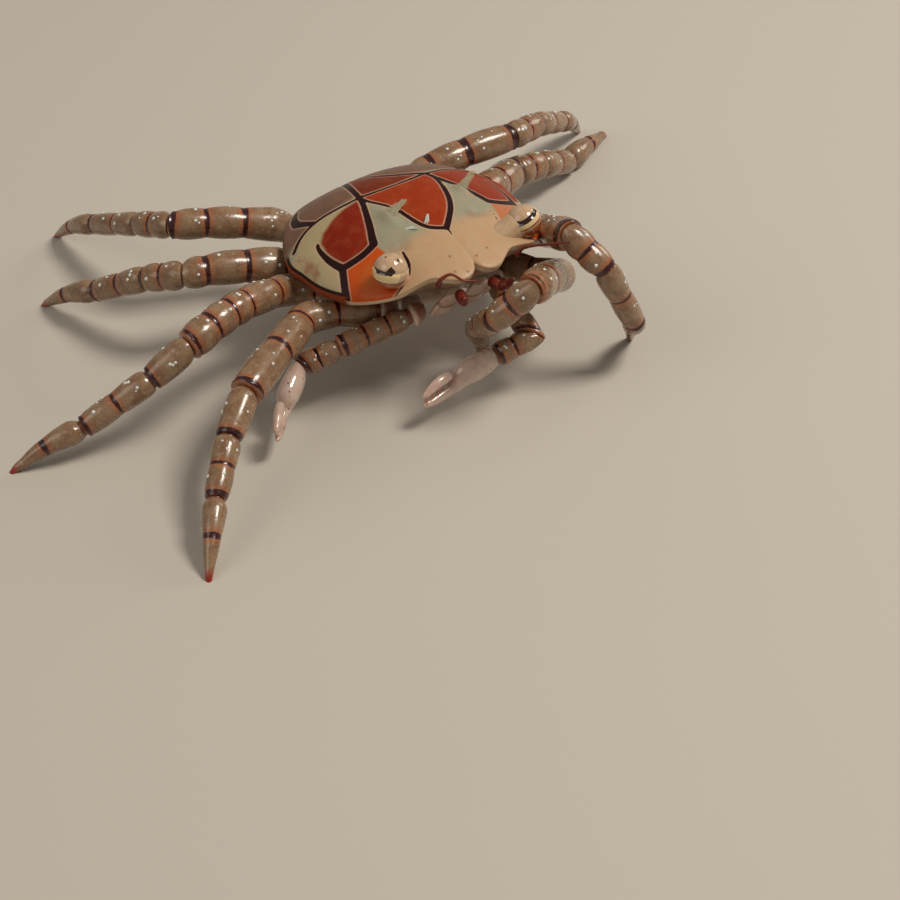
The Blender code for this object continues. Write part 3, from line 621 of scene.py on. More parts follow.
def blob(centre, radius, way=(0, 0, 1), height=1.0, rings=6, sides=12):
    """Rows of points of a ball, flattened or drawn out along its own way."""
    way = Vector(way).normalized()
    across = way.orthogonal().normalized()
    over = way.cross(across)
    rows = []
    for i in range(1, rings + 1):
        lift = pi * i / (rings + 1)
        rows.append([np.array(Vector(centre) - way * (cos(lift) * radius * height)
                              + (across * cos(w) + over * sin(w)) * (radius * sin(lift)))
                     for w in (2 * pi * k / sides for k in range(sides))])
    return rows


class Build:
    """Gathers lofted shapes into one mesh, with the same named numbers at every point."""

    def __init__(self, *names):
        self.points, self.faces, self.count = [], [], 0
        self.numbers = {name: [] for name in names}

    def add(self, rows, **numbers):
        points, faces = loft(rows)
        self.points.append(points)
        self.faces += [tuple(i + self.count for i in face) for face in faces]
        self.count += len(points)
        rows = np.asarray(rows, float)
        for name, gathered in self.numbers.items():
            values = np.broadcast_to(np.asarray(numbers.get(name, 0.0), float), rows.shape[:2])
            ends = [values[0].mean(), values[-1].mean()]
            gathered.append(np.concatenate([values.reshape(-1), ends]))

    def object(self, name, finish, crease=50):
        numbers = {key: np.concatenate(values) for key, values in self.numbers.items()}
        return piece(name, np.concatenate(self.points), self.faces, finish, crease, **numbers)


def tube(controls, start, end, rings, bulge=0.12, sides=40, flat=1.0, up=(0, 0, 1), foot=False, grain=0.09):
    """Rows of one segment of limb. It runs through the controls (x, y, z, radius), from the
    plane start to the plane end, each a point and a normal, and swells between its rings.
    Also gives how far each point is outside the rings and along, and where the beads end."""
    length = sum(np.linalg.norm(np.diff(np.asarray(controls, float)[:, :3], axis=0), axis=1))
    line, along = spread(controls, max(int(length / grain), 12))
    centres, radii = line[:, :3], line[:, 3].copy()
    length = along[-1]
    ways = np.gradient(centres, axis=0)
    ways /= np.linalg.norm(ways, axis=1)[:, None]
    across = np.cross(ways, np.asarray(up, float))
    across /= np.linalg.norm(across, axis=1)[:, None]
    over = np.cross(across, ways)
    stops = [0.0] + [share * length for share, _ in rings] + [length]
    for k in range(len(stops) - 1):
        low, high = stops[k], stops[k + 1]
        part = (along >= low) & (along <= high)
        if high - low > 0.25 * radii[0]:
            swell = np.sin(np.clip((along[part] - low) / (high - low), 0, 1) * pi) ** 0.7
            radii[part] *= 1 - bulge * 0.5 + bulge * swell
    turns = np.arange(sides) * 2 * pi / sides
    ring = (across[:, None] * (np.cos(turns) * flat)[None, :, None]
            + over[:, None] * np.sin(turns)[None, :, None])
    if foot:                            # the foot's last rows lie level, for a flat to stand on
        ahead = ways[-1] * (1, 1, 0)
        ahead /= np.linalg.norm(ahead)
        side = np.cross(ahead, (0, 0, 1))
        flat_ring = side * np.cos(turns)[:, None] + ahead * np.sin(turns)[:, None]
        share = np.clip((along - length + 0.5) / 0.5, 0, 1)[:, None, None] ** 2
        ring = ring * (1 - share) + flat_ring * share
    offsets = ring * radii[:, None, None]
    rows = centres[:, None] + offsets
    for plane, way, ramp in ((start, ways[0], 1 - along / (2.2 * radii[0])), (end, ways[-1], None)):
        if plane is None:
            continue
        point, normal = (np.array(v, float) for v in plane)
        k = 0 if ramp is not None else -1
        if ramp is None:
            ramp = 1 - (length - along) / (2.2 * radii[-1])
        ramp = np.clip(ramp, 0, 1)
        ramp = ramp * ramp * (3 - 2 * ramp)
        miss = ((point - rows[k]) @ normal) / (way @ normal)
        rows = rows + miss[None, :, None] * ramp[:, None, None] * way
    gaps = np.full((len(along), sides), 9.0)
    for share, half in rings:
        uneven = 1 + 0.3 * np.sin(turns) + 0.12 * np.sin(3 * turns + 40 * share)
        gaps = np.minimum(gaps, abs(along[:, None] - share * length) - half * uneven)
    return rows, {"ring": gaps, "far": np.broadcast_to(along[:, None] / length, gaps.shape)}, stops


def set_pearls(build, rows, stops, skip=0.0):
    """White pearls on the upper side of each bead, a few to a bead, unevenly spaced. They are white tubercles
    and painted highlights in one, for the glints on the lit side.
    """
    rows = np.asarray(rows)
    count, sides = rows.shape[:2]
    for low, high in zip(stops, stops[1:]):
        if high - low < 0.9 or low < skip:
            continue
        for _ in range(int(1 + (high - low) * 1.3)):
            at = low + (high - low) * draws.uniform(0.25, 0.75)
            row = int(at / stops[-1] * (count - 1))
            column = int(round((0.25 + draws.uniform(-0.19, 0.19)) * sides)) % sides
            centre = rows[row].mean(0)
            place = rows[row][column]
            out = (place - centre) / np.linalg.norm(place - centre)
            size = PEARL_RADIUS * draws.uniform(0.5, 1.1)
            pearl = blob(place - out * size * 0.35, size, out, 0.8, rings=5, sides=10)
            build.add(pearl, pearl=1.0, ring=9.0)


def leg_joints(key):
    pair, side = int(key[0]), key[2]
    joints = [on_side(LEG_ROOT[pair], side)]
    for (heading, pitch), length in zip(LEG_POSE[key][:4], LEG_LENGTH[pair]):
        joints.append(joints[-1] + aim(heading, pitch) * length)
    reach, drop = LEG_LENGTH[pair][4], joints[-1].z
    joints.append(joints[-1] + aim(LEG_POSE[key][4], 0) * sqrt(reach**2 - drop**2) - Vector((0, 0, drop)))
    return joints


def joint_plane(before, after, point, side):
    normal = (before + after).normalized()
    return point + normal * (side * JOINT_GAP / 2), normal


def mitre_length(before, after, radius):
    return radius * tan(before.angle(after) / 2) * 0.82 + 0.28


def straight(start, end, radius, trim_start, trim_end, bow=None):
    """Controls of a straight segment, rounded off at both ends."""
    axis = end - start
    length = axis.length
    axis.normalize()
    first, last = trim_start, length - trim_end
    controls = [(*start, radius[0] * 0.87), (*(start + axis * first * 0.5), radius[0] * 0.97)]
    for i in range(7):
        share = i / 6
        place = start + axis * (first + (last - first) * share)
        controls.append((*place, radius[0] + (radius[1] - radius[0]) * share))
    controls += [(*(end - axis * trim_end * 0.5), radius[1] * 0.97), (*end, radius[1] * 0.87)]
    if bow:
        for k, (x, y, z, r) in enumerate(controls):
            share = (Vector((x, y, z)) - start).dot(axis) / length
            controls[k] = (x, y, z + bow * sin(pi * share), r)
    return controls


limb_finish = Finish("limb", Roughness=0.26, Coat_Weight=0.45, Coat_Roughness=0.10, Subsurface_Weight=0.35,
                     Subsurface_Scale=0.7 * MM, Subsurface_Radius=(1.0, 0.45, 0.28))
LIMB_PALE, LIMB_BROWN, RING_RED = (0.30, 0.195, 0.110), (0.185, 0.086, 0.038), (0.035, 0.003, 0.003)
RING_GLOW, SKIN_ORANGE = (0.40, 0.10, 0.025), (0.22, 0.05, 0.02)
TIP_RED, PEARL = (0.32, 0.015, 0.006), (0.95, 0.90, 0.80)
f = limb_finish
ring, far = f.number("ring"), f.number("far")
mottle, fine = f.cloud(0.7), f.cloud(0.13)
coat = f.colour(LIMB_PALE).tint(mottle.rise(0.3, 0.7) * 0.75, LIMB_BROWN)
coat = coat.tint(f.cells(0.30).rise(0.30, 0.12) * 0.28, (0.62, 0.46, 0.34))
coat = coat.tint(f.cells(0.17).rise(0.16, 0.05) * 0.5, (0.30, 0.06, 0.03))
coat = coat.tint((ring + (mottle - 0.5) * 0.2).rise(0.42, 0.0) * 0.55, RING_GLOW)
coat = coat.tint(f.number("tip"), TIP_RED)
coat = coat.tint((ring + (fine - 0.5) * 0.08).rise(0.03, -0.03), RING_RED)
coat = coat.tint(f.number("skin"), SKIN_ORANGE)
# Partly painted highlight: the near-white pearls are tubercles that also stand for glints on the beads
coat = coat.tint(f.number("pearl"), PEARL)
f.paint(Base_Color=coat, Roughness=(fine * 0.15 + 0.20))
f.relief(fine * 0.4 + f.cells(0.3).rise(0.0, 0.5) * 0.6, 0.010)


def dress_leg(key):
    """Every segment of one walking leg, from the bend under the shell to the foot."""
    joints = leg_joints(key)
    ways = [(b - a).normalized() for a, b in zip(joints, joints[1:])]
    pair = int(key[0])
    scale = {"5_R": 0.94, "5_L": 0.98, "4_L": 1.10}.get(key, 1.0)
    radius = {part: r * scale for part, r in LEG_RADIUS.items()}
    merus = (1.13, 1.06) if key == "4_L" else MERUS_RADIUS[pair]
    shapes = {}

    ischium = joints[1] - joints[0]
    controls = [(*(joints[0] + ischium * t), radius["ischium"] * r)
                for t, r in ((0, 0.8), (0.15, 0.97), (0.62, 0.97))]
    trim = mitre_length(ways[1], ways[2], merus[1])
    controls += straight(joints[1], joints[2], merus, 0.45, trim, MERUS_BOW[key])[2:]
    long_part = sum((Vector(b[:3]) - Vector(a[:3])).length for a, b in zip(controls, controls[1:]))
    bend = ischium.length * 0.95
    rings = [((bend + share * (long_part - bend)) / long_part, half) for share, half in MERUS_RINGS[key]]
    rings.insert(0, (bend * 0.62 / long_part, 0.10))
    shapes["merus"] = (controls, (joints[0] + ways[0] * GAP / 2, ways[0]),
                       joint_plane(ways[1], ways[2], joints[2], -1), rings,
                       joints[0], radius["ischium"] * 0.7)

    following = {"carpus": "propodus", "propodus": "dactylus"}
    carpus_rings = CARPUS_RINGS[1:] if key in PLAIN_CARPUS else CARPUS_RINGS
    for k, part, rings in ((2, "carpus", carpus_rings), (3, "propodus", PROPODUS_RINGS)):
        sizes = (radius[part], (radius[part] + radius[following[part]]) / 2)
        controls = straight(joints[k], joints[k + 1], sizes, mitre_length(ways[k - 1], ways[k], sizes[0]),
                            mitre_length(ways[k], ways[k + 1], sizes[1]))
        rings = [(share + draws.uniform(-0.04, 0.04) * (share < 0.9), half * draws.uniform(0.85, 1.15))
                 for share, half in rings]
        shapes[part] = (controls, joint_plane(ways[k - 1], ways[k], joints[k], 1),
                        joint_plane(ways[k], ways[k + 1], joints[k + 1], -1), rings,
                        joints[k], sizes[0] * 0.74)

    start, tip = joints[4], joints[5]
    axis = tip - start
    bow = (Vector((0, 0, 1)) - ways[4] * ways[4].z).normalized() * 0.28
    trim = mitre_length(ways[3], ways[4], radius["dactylus"]) / axis.length
    full = radius["dactylus"] * 1.08
    controls = []
    for t, r in ((0, 0.82), (trim, 1.0), (0.26, 0.98), (0.40, 0.88), (0.54, 0.78), (0.68, 0.62),
                 (0.82, 0.46), (0.93, 0.36), (1.0, FOOT / full)):
        place = start + axis * t + bow * sin(pi * t)
        if t < 1:
            place.z = max(place.z, full * r + 0.03)
        controls.append((*place, full * r))
    shapes["dactylus"] = (controls, joint_plane(ways[3], ways[4], start, 1), None, DACTYLUS_RINGS,
                          start, full * 0.74)

    for part, (controls, start_plane, end_plane, rings, root, ball) in shapes.items():
        node = f"leg{key[0]}_{key[2]}_{part}"
        build = Build("ring", "far", "tip", "skin", "pearl")
        rows, numbers, stops = tube(controls, start_plane, end_plane, rings, foot=part == "dactylus")
        if part == "dactylus":
            numbers["tip"] = np.clip((numbers["far"] - 0.86) / 0.1, 0, 1)
            rows[..., 2] = np.maximum(rows[..., 2], 0)
        build.add(rows, **{name: numbers[name] for name in numbers if name in build.numbers})
        if part != "dactylus":
            set_pearls(build, rows, stops, skip=2.0 if part == "merus" else 0.0)
        build.add(blob(root, ball, (0, 0, 1), rings=10, sides=20), skin=1.0, ring=9.0)
        fit(build.object(node + "_shell", limb_finish), node)


for key in LEG_POSE:
    dress_leg(key)


# The claws: small and pale, each with two slender toothed fingers and a dark-ringed arm.
CLAW_ROOT = (3.2, -3.8, 5.0)
CLAW_LENGTH = (4.7, 2.5, 3.0, 2.6)
CLAW_RADIUS = (0.72, 0.74, 0.80)
CLAW_POSE = {
    "R": ((172, -10), (160, -22), (216, -20), (230, -8)),
    "L": ((-95, -15), (168, -18), (178, -12), (-170, -8)),
}
CLAW_RINGS = {"merus": ((0.30, 0.07), (0.62, 0.08), (0.93, 0.13)), "carpus": ((0.50, 0.08), (0.94, 0.11))}
PALM = ((0.0, 0.80), (0.16, 0.93), (0.34, 1.01), (0.52, 1.03), (0.72, 0.98))
# Shares of a finger's length, how far it lies off its line, and its radius, in mm
FIXED_FINGER = ((0.0, 0.36, 0.50), (0.22, 0.46, 0.36), (0.50, 0.46, 0.32), (0.78, 0.38, 0.26),
                (0.95, 0.26, 0.17), (1.0, 0.20, 0.07))
FREE_FINGER = ((0.0, 0.0, 0.30), (0.2, 0.06, 0.33), (0.45, 0.06, 0.31), (0.72, -0.04, 0.25),
               (0.94, -0.18, 0.16), (1.0, -0.24, 0.06))

claw_finish = Finish("claw", Roughness=0.16, Coat_Weight=0.8, Coat_Roughness=0.06, Subsurface_Weight=0.5,
                     Subsurface_Scale=0.8 * MM, Subsurface_Radius=(1.0, 0.6, 0.45))
CLAW_WHITE, CLAW_PINK, CLAW_MARK = (0.62, 0.48, 0.40), (0.46, 0.27, 0.21), (0.14, 0.02, 0.01)
f = claw_finish
mottle, fine = f.cloud(0.6), f.cloud(0.12)
coat = f.colour(CLAW_WHITE).tint(mottle.rise(0.35, 0.75) * 0.6, CLAW_PINK)
coat = coat.tint(f.number("far").rise(0.6, 1.0) * 0.35, CLAW_PINK)
coat = coat.tint(f.cells(0.55).rise(0.15, 0.08) * 0.75, CLAW_MARK)
coat = coat.tint((f.number("ring") + (fine - 0.5) * 0.08).rise(0.03, -0.03), RING_RED)
coat = coat.tint(f.number("skin"), SKIN_ORANGE)
coat = coat.tint(f.number("tooth"), (0.50, 0.20, 0.10))
f.paint(Base_Color=coat, Roughness=(fine * 0.15 + 0.1))
f.relief(fine * 0.4 + f.cells(0.3).rise(0.0, 0.5) * 0.6, 0.008)


def add_teeth(build, rows, way, count):
    """Small hooked teeth along one finger, on the side that faces the other finger."""
    rows = np.asarray(rows)
    for i in range(count):
        share = 0.42 + 0.5 * i / (count - 1)
        row = rows[int(share * (len(rows) - 1))]
        centre = Vector(row.mean(0))
        radius = np.linalg.norm(row - row.mean(0), axis=1).mean()
        root = centre + way * radius * 0.55
        tip = centre + way * (radius + 0.26)
        build.add(blob(root.lerp(tip, 0.45), 0.085, way, 2.3, rings=6, sides=8), tooth=1.0, ring=9.0)


def dress_claw(side):
    joints = [on_side(CLAW_ROOT, side)]
    for (heading, pitch), length in zip(CLAW_POSE[side], CLAW_LENGTH):
        joints.append(joints[-1] + aim(heading, pitch) * length)
    ways = [(b - a).normalized() for a, b in zip(joints, joints[1:])]
    for k, part in ((0, "merus"), (1, "carpus")):
        size = CLAW_RADIUS[k]
        start, first = (joints[0] + ways[0] * GAP / 2, ways[0]), 0.3
        if part == "carpus":
            start = joint_plane(ways[0], ways[1], joints[1], 1)
            first = mitre_length(ways[0], ways[1], size)
        controls = straight(joints[k], joints[k + 1], (size * 0.92, size), first,
                            mitre_length(ways[k], ways[k + 1], size))
        build = Build("ring", "far", "tip", "skin", "pearl")
        rows, numbers, stops = tube(controls, start, joint_plane(ways[k], ways[k + 1], joints[k + 1], -1),
                                    CLAW_RINGS[part], grain=0.07)
        build.add(rows, ring=numbers["ring"], far=numbers["far"])
        set_pearls(build, rows, stops)
        build.add(blob(joints[k], size * 0.7, rings=10, sides=20), skin=1.0, ring=9.0)
        fit(build.object(f"claw_{side}_{part}_shell", limb_finish), f"claw_{side}_{part}")

    # The fingers part along this direction, the fixed one below and the free one above
    way, tip_way, end = ways[2], ways[3], joints[3]
    open_way = (Vector((0, 0, 1)) - way * way.z).normalized()
    reach = CLAW_LENGTH[3]
    controls = [(*(joints[2] + way * CLAW_LENGTH[2] * t), CLAW_RADIUS[2] * r) for t, r in PALM]
    controls += [(*(end + tip_way * reach * t - open_way * off), r) for t, off, r in FIXED_FINGER]
    build = Build("ring", "far", "tooth", "skin")
    rows, numbers, _ = tube(controls, joint_plane(ways[1], way, joints[2], 1), None, (), flat=0.82,
                            up=open_way, grain=0.05)
    build.add(rows, ring=9.0, far=numbers["far"])
    add_teeth(build, rows[int(len(rows) * 0.35):], open_way, 5)
    build.add(blob(joints[2], CLAW_RADIUS[2] * 0.68, rings=10, sides=20), skin=1.0, ring=9.0)
    fit(build.object(f"claw_{side}_hand_shell", claw_finish), f"claw_{side}_hand")

    base = end + open_way * 0.58 + tip_way * 0.30
    controls = [(*(base + tip_way * (reach - 0.35) * t + open_way * off), r) for t, off, r in FREE_FINGER]
    build = Build("ring", "far", "tooth", "skin")
    rows, numbers, _ = tube(controls, None, None, (), flat=0.9, up=open_way, grain=0.05)
    build.add(rows, ring=9.0, far=numbers["far"])
    add_teeth(build, rows, -open_way, 5)
    fit(build.object(f"claw_{side}_finger_shell", claw_finish), f"claw_{side}_finger")


for side in ("L", "R"):
    dress_claw(side)


# The eyes: each a ball wrapped in the beige tissue of its short stalk. A dark stripe lies
# where the tissue ends, over a narrow cream band, and there are a few dark spots above it.
LOOK = {                                # the way the bare side faces, where it starts, the stripe's middle
    "R": ((-0.15, -0.08, -0.98), -0.22, (-0.89, -0.10, 0.44), 0.60),
    "L": ((0.334, -0.228, -0.914), -0.454, (-0.33, -0.66, 0.68), 0.25),
}
SPOTS = {                               # direction from the ball's centre, and size in mm
    "R": (((-0.44, -0.74, 0.50), 0.30), ((0.26, -0.44, 0.86), 0.14), ((-0.26, 0.08, 0.96), 0.09)),
    "L": (((-0.75, -0.52, 0.46), 0.15),),
}
EYE_SHIFT = {"R": (0.0, 0.0, 0.0), "L": (-0.2, 0.2, -0.35)}
NECK_ROOT = {"R": (4.15, -4.5, 8.5), "L": (2.2, -4.35, 8.5)}
CREAM_BAND = {"R": 0.60, "L": 0.42}
CREAM, EYE_BROWN, TISSUE = (0.78, 0.60, 0.32), (0.022, 0.003, 0.003), (0.57, 0.39, 0.24)


def tissue(f):
    coat = f.colour(TISSUE).tint(f.cloud(0.5).rise(0.4, 0.7) * 0.4, (0.40, 0.22, 0.13))
    return coat.tint(f.cells(0.26).rise(0.11, 0.05) * 0.7, (0.12, 0.03, 0.015))


eye_finish = Finish("eye", Roughness=0.14, Coat_Weight=0.7, Coat_Roughness=0.05, Subsurface_Weight=0.2,
                    Subsurface_Scale=0.4 * MM)
f = eye_finish
bare = f.number("bare")
fine = f.cloud(0.1)
coat = tissue(f)
coat = coat.tint((bare + (fine - 0.5) * 0.1).rise(0.45, 0.75), (0.36, 0.10, 0.03))
coat = coat.tint((f.number("cream") + (fine - 0.5) * 0.05).rise(-0.02, 0.04), CREAM)
coat = coat.tint(f.number("rim").rise(0.03, 0.0), (0.26, 0.02, 0.008))
coat = coat.tint(f.number("stripe").rise(0.02, -0.02), EYE_BROWN)
f.paint(Base_Color=coat)
stalk_finish = Finish("eyestalk", Roughness=0.3, Coat_Weight=0.3, Coat_Roughness=0.1, Subsurface_Weight=0.2,
                      Subsurface_Scale=0.4 * MM)
stalk_finish.paint(Base_Color=tissue(stalk_finish))

for side in ("L", "R"):
    centre = on_side(EYE, side) + Vector(EYE_SHIFT[side])
    root = on_side(NECK_ROOT[side], side)
    way = (centre - root).normalized()
    controls = [(*(root + way * (centre - root).length * t), r)
                for t, r in ((0, 0.3), (0.08, 0.55), (0.22, 0.72), (0.45, 0.80), (0.7, 0.85), (1, 0.88))]
    rows, numbers, _ = tube(controls, None, None, (), bulge=0.0, grain=0.05, sides=48)
    build = Build("ring")
    build.add(rows)
    fit(build.object(f"eyestalk_{side}_skin", stalk_finish), f"eyestalk_{side}")

    rows = np.array(blob(centre, CORNEA, way, rings=72, sides=120))
    unit = (rows - np.array(centre)) / CORNEA
    face, start, middle, reach = LOOK[side]
    face, middle = np.array(face) / np.linalg.norm(face), np.array(middle) / np.linalg.norm(middle)
    bare = (unit @ face - start) * CORNEA
    along = (unit @ middle - reach) * CORNEA
    stripe = np.maximum(abs(bare) - 0.135 * np.clip(0.5 + along, 0.6, 1), -along)
    for direction, size in SPOTS[side]:
        direction = np.array(direction) / np.linalg.norm(direction)
        tangent = np.cross(direction, face)
        tangent /= np.linalg.norm(tangent)
        off = (unit - direction) * CORNEA
        stripe = np.minimum(stripe, abs(off @ tangent) + abs(off @ np.cross(direction, tangent)) - size)
        stripe = np.where(unit @ direction < 0, np.maximum(stripe, 1), stripe)
    cream = np.minimum(np.minimum(bare, CREAM_BAND[side] - bare), along + 0.45)
    # The bare side stands a little proud of the tissue round it
    rows += unit * (0.035 * np.clip(bare / 0.12, 0, 1) - 0.03 * np.exp(-(bare / 0.07) ** 2))[..., None]
    build = Build("bare", "cream", "stripe", "rim")
    build.add(rows, bare=bare, cream=cream, stripe=stripe, rim=abs(bare - CREAM_BAND[side] - 0.02) - 0.03)
    fit(build.object(f"eye_{side}_ball", eye_finish), f"eye_{side}")


# The setae: two locks of fine pale hairs stand on the back between the lines and lean to the
# crab's left, with a few white wisps lower down.
TUFTS = {                               # middle of the root, its spread, the tip from there, hairs
    "R": ((-2.35, -0.35), (0.30, 0.55), (1.25, -0.05, 0.88), 150),
    "L": ((3.15, -0.15), (0.30, 0.42), (1.00, 0.10, 0.90), 120),
}
WISPS = (((-2.05, -1.95), (0.50, -0.55, 0.16)), ((-0.75, -2.25), (0.30, 0.35, 0.34)))
HAIR_TOP = 10.8
seta_finish = Finish("setae", Roughness=0.55, Subsurface_Weight=0.4, Subsurface_Scale=0.15 * MM)
f = seta_finish
coat = f.colour((0.45, 0.39, 0.27)).tint(f.number("far").rise(0.2, 0.8) * 0.8, (0.62, 0.48, 0.31))
coat = coat.tint(f.number("wisp"), (0.80, 0.74, 0.64))
coat = coat.tint(f.cloud(0.4).rise(0.35, 0.65) * 0.2, (0.28, 0.26, 0.19))
f.paint(Base_Color=coat)


def on_crown(x, y):
    """A place on the back, a little under its surface."""
    return Vector((x, y, back_height(x, y) - 0.08))


def seta(root, tip, radius, sag, steps=9):
    """Rows of one hair, from its root to its tip, bowed away from the straight line."""
    controls = []
    for i in range(steps):
        t = i / (steps - 1)
        place = root.lerp(tip, t) + sag * (4 * t * (1 - t))
        controls.append((*place, radius * (1 - 0.8 * t**1.5)))
    rows, _, _ = tube(controls, None, None, (), bulge=0, sides=5, grain=0.13)
    return rows, np.broadcast_to(np.linspace(0, 1, len(rows))[:, None], (len(rows), 5))


build = Build("far", "wisp")
for (x, y), (wide, deep), lean, count in TUFTS.values():
    for _ in range(count):
        u, v = draws.normal(0, 0.5, 2)
        root = on_crown(x + np.clip(u, -1, 1) * wide, y + np.clip(v, -1, 1) * deep)
        end = on_crown(x, y) + Vector(lean) * draws.uniform(0.72, 1.02) + Vector(draws.normal(0, 0.07, 3))
        end.z = min(end.z, HAIR_TOP)
        sag = Vector((-0.16, 0.0, 0.0)) * draws.uniform(0.4, 1.2)
        rows, far = seta(root, end, draws.uniform(0.035, 0.055), sag)
        build.add(rows, far=far)
for (x, y), lean in WISPS:
    for _ in range(14):
        u, v = draws.normal(0, 0.09, 2)
        root = on_crown(x + u, y + v)
        end = on_crown(x, y) + Vector(lean) * draws.uniform(0.6, 1.1) + Vector(draws.normal(0, 0.03, 3))
        rows, far = seta(root, end, 0.045, Vector((0, 0, 0.08)))
        build.add(rows, far=far, wisp=1.0)
tufts = build.object("setae_of_back", seta_finish)
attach(tufts, "root")


# The underside: the breast plates between the limbs, with a short coxa for each limb, the
# tail folded forward over them, and the paired plates that close the mouth.
STERNUM_Z, THORAX_TOP_Z = 4.1, BELLY_Z - GAP
THORAX_SHAPE = [(0.0, 3.6), (0.6, 3.9), (1.2, 4.1), (1.7, 4.2), (2.4, 4.9), (pi, 5.4)]
THORAX_RINGS = [(0.0, 0.0, THORAX_TOP_Z), (0.72, 1.0, THORAX_TOP_Z), (0.95, 1.2, THORAX_TOP_Z - 0.12),
                (1.0, 1.8, 5.35), (0.96, 2.4, 4.75), (0.80, 3.0, 4.3), (0.5, 3.8, STERNUM_Z),
                (0.02, 5.4, STERNUM_Z)]
BREAST_GROOVES = (-2.9, -1.5, 0.1, 1.7, 3.2)
TAIL = ((6.5, 5.95, 2.3, 80), (6.6, 5.2, 2.35, 95), (6.3, 4.35, 2.2, 130), (5.5, 3.75, 2.0, 160),
        (4.2, 3.48, 1.75, 176), (2.4, 3.42, 1.5, 180), (0.8, 3.42, 1.2, 180), (-0.6, 3.46, 0.7, 182))
TAIL_GROOVES = (0.12, 0.26, 0.40, 0.54, 0.68, 0.84)
JAW = ((-4.05, 4.55, 0.45, 0.20), (-4.35, 4.95, 0.66, 0.28), (-4.75, 5.6, 0.74, 0.30),
       (-5.15, 6.35, 0.72, 0.30), (-5.45, 6.95, 0.45, 0.24))
JAW_X, JAW_THICKNESS_WAY = 0.98, (0, -0.88, -0.47)
JAW_BRANCH = ((1.84, -4.3, 4.95, 0.16), (1.90, -4.8, 5.6, 0.17), (1.86, -5.25, 6.35, 0.14),
              (1.60, -5.6, 6.95, 0.07))

under_finish = Finish("underside", Roughness=0.35, Coat_Weight=0.4, Coat_Roughness=0.15,
                      Subsurface_Weight=0.3, Subsurface_Scale=0.6 * MM)
UNDER_PALE, UNDER_PINK = (0.66, 0.53, 0.42), (0.50, 0.27, 0.18)
f = under_finish
mottle, fine = f.cloud(0.9), f.cloud(0.15)
coat = f.colour(UNDER_PALE).tint(mottle.rise(0.35, 0.75) * 0.7, UNDER_PINK)
coat = coat.tint(f.cells(0.35).rise(0.16, 0.06) * 0.4, (0.28, 0.07, 0.04))
coat = coat.tint((f.number("line") + (fine - 0.5) * 0.1).rise(0.22, 0.02) * 0.75, (0.26, 0.06, 0.035))
f.paint(Base_Color=coat, Roughness=(fine * 0.2 + 0.28))
f.relief(fine * 0.5 + f.cells(0.25).rise(0.0, 0.5) * 0.5, 0.012)


def column_through(table, column, at):
    return np.array([smooth_through([(row[1], row[column]) for row in table], t) for t in at])


build = Build("line")
turns = np.arange(160) * 2 * pi / 160 - pi
reach = np.array([smooth_through(THORAX_SHAPE, a) for a in abs(turns)])
at = np.linspace(0.2, 5.4, 90)
scales, heights = column_through(THORAX_RINGS, 0, at), column_through(THORAX_RINGS, 2, at)
rows = np.stack([np.outer(scales, reach * np.sin(turns) * 0.93),
                 HUB_Y - np.outer(scales, reach * np.cos(turns)), np.repeat(heights[:, None], 160, 1)], 2)
gaps = np.min([abs(rows[..., 1] - y - 0.12 * abs(rows[..., 0])) for y in BREAST_GROOVES], axis=0)
below = np.clip((5.0 - rows[..., 2]) / 0.5, 0, 1)
rows[..., 2] += 0.14 * np.exp(-(gaps / 0.12) ** 2) * below
build.add(rows, line=gaps + 9 * (1 - below))
coxae = []
for key in LEG_POSE:
    root, bend = leg_joints(key)[:2]
    size = LEG_RADIUS["ischium"] * (0.9 if key[0] == "5" else 0.95)
    inner = Vector((root.x * 0.45, root.y * 0.6 + HUB_Y * 0.4, 5.0))
    coxae.append((root, inner, (bend - root).normalized(), size, 0.55, (0.55, 0.74, 0.9, 0.84, 0.7)))
for side in ("L", "R"):
    root, way = on_side(CLAW_ROOT, side), aim(*CLAW_POSE[side][0])
    inner = Vector((root.x * 0.4, root.y * 0.5, 5.0))
    coxae.append((root, inner, way, CLAW_RADIUS[0], 0.5, (0.6, 0.8, 0.92, 0.86, 0.74)))
for root, inner, way, size, shoulder, shares in coxae:
    places = (inner, inner.lerp(root, 0.6), *(root - way * back for back in (shoulder, 0.2, GAP / 2)))
    controls = [(*place, size * share) for place, share in zip(places, shares)]
    rows, numbers, _ = tube(controls, None, (places[-1], way), ((0.86, 0.05),))
    build.add(rows, line=numbers["ring"])
fit(build.object("thorax_plates", under_finish), "thorax")

controls = np.array([(0, y, z, half) for y, z, half, _ in TAIL])
line, along = spread(controls, 150)
tilts = np.interp(np.linspace(0, 1, 150), np.linspace(0, 1, len(TAIL)), [row[3] for row in TAIL])
share = along / along[-1]
grooves = np.min([abs(share - g) for g in TAIL_GROOVES], axis=0) * along[-1]
turns = np.arange(64) * 2 * pi / 64
rows = []
for (x, y, z, half), tilt, gap in zip(line, tilts, grooves):
    out = np.array((0, sin(radians(tilt)), cos(radians(tilt))))
    width = half * (1 - 0.05 * np.exp(-(gap / 0.1) ** 2))
    lift = np.where(np.sin(turns) > 0, 0.34 - 0.09 * np.exp(-(gap / 0.1) ** 2), 0.22)
    across = np.sign(np.cos(turns)) * abs(np.cos(turns)) ** 0.8 * width
    rows.append(np.stack([across, y + out[1] * np.sin(turns) * lift, z + out[2] * np.sin(turns) * lift], 1))
build = Build("line")
build.add(rows, line=grooves[:, None])
fit(build.object("abdomen_plates", under_finish), "abdomen")

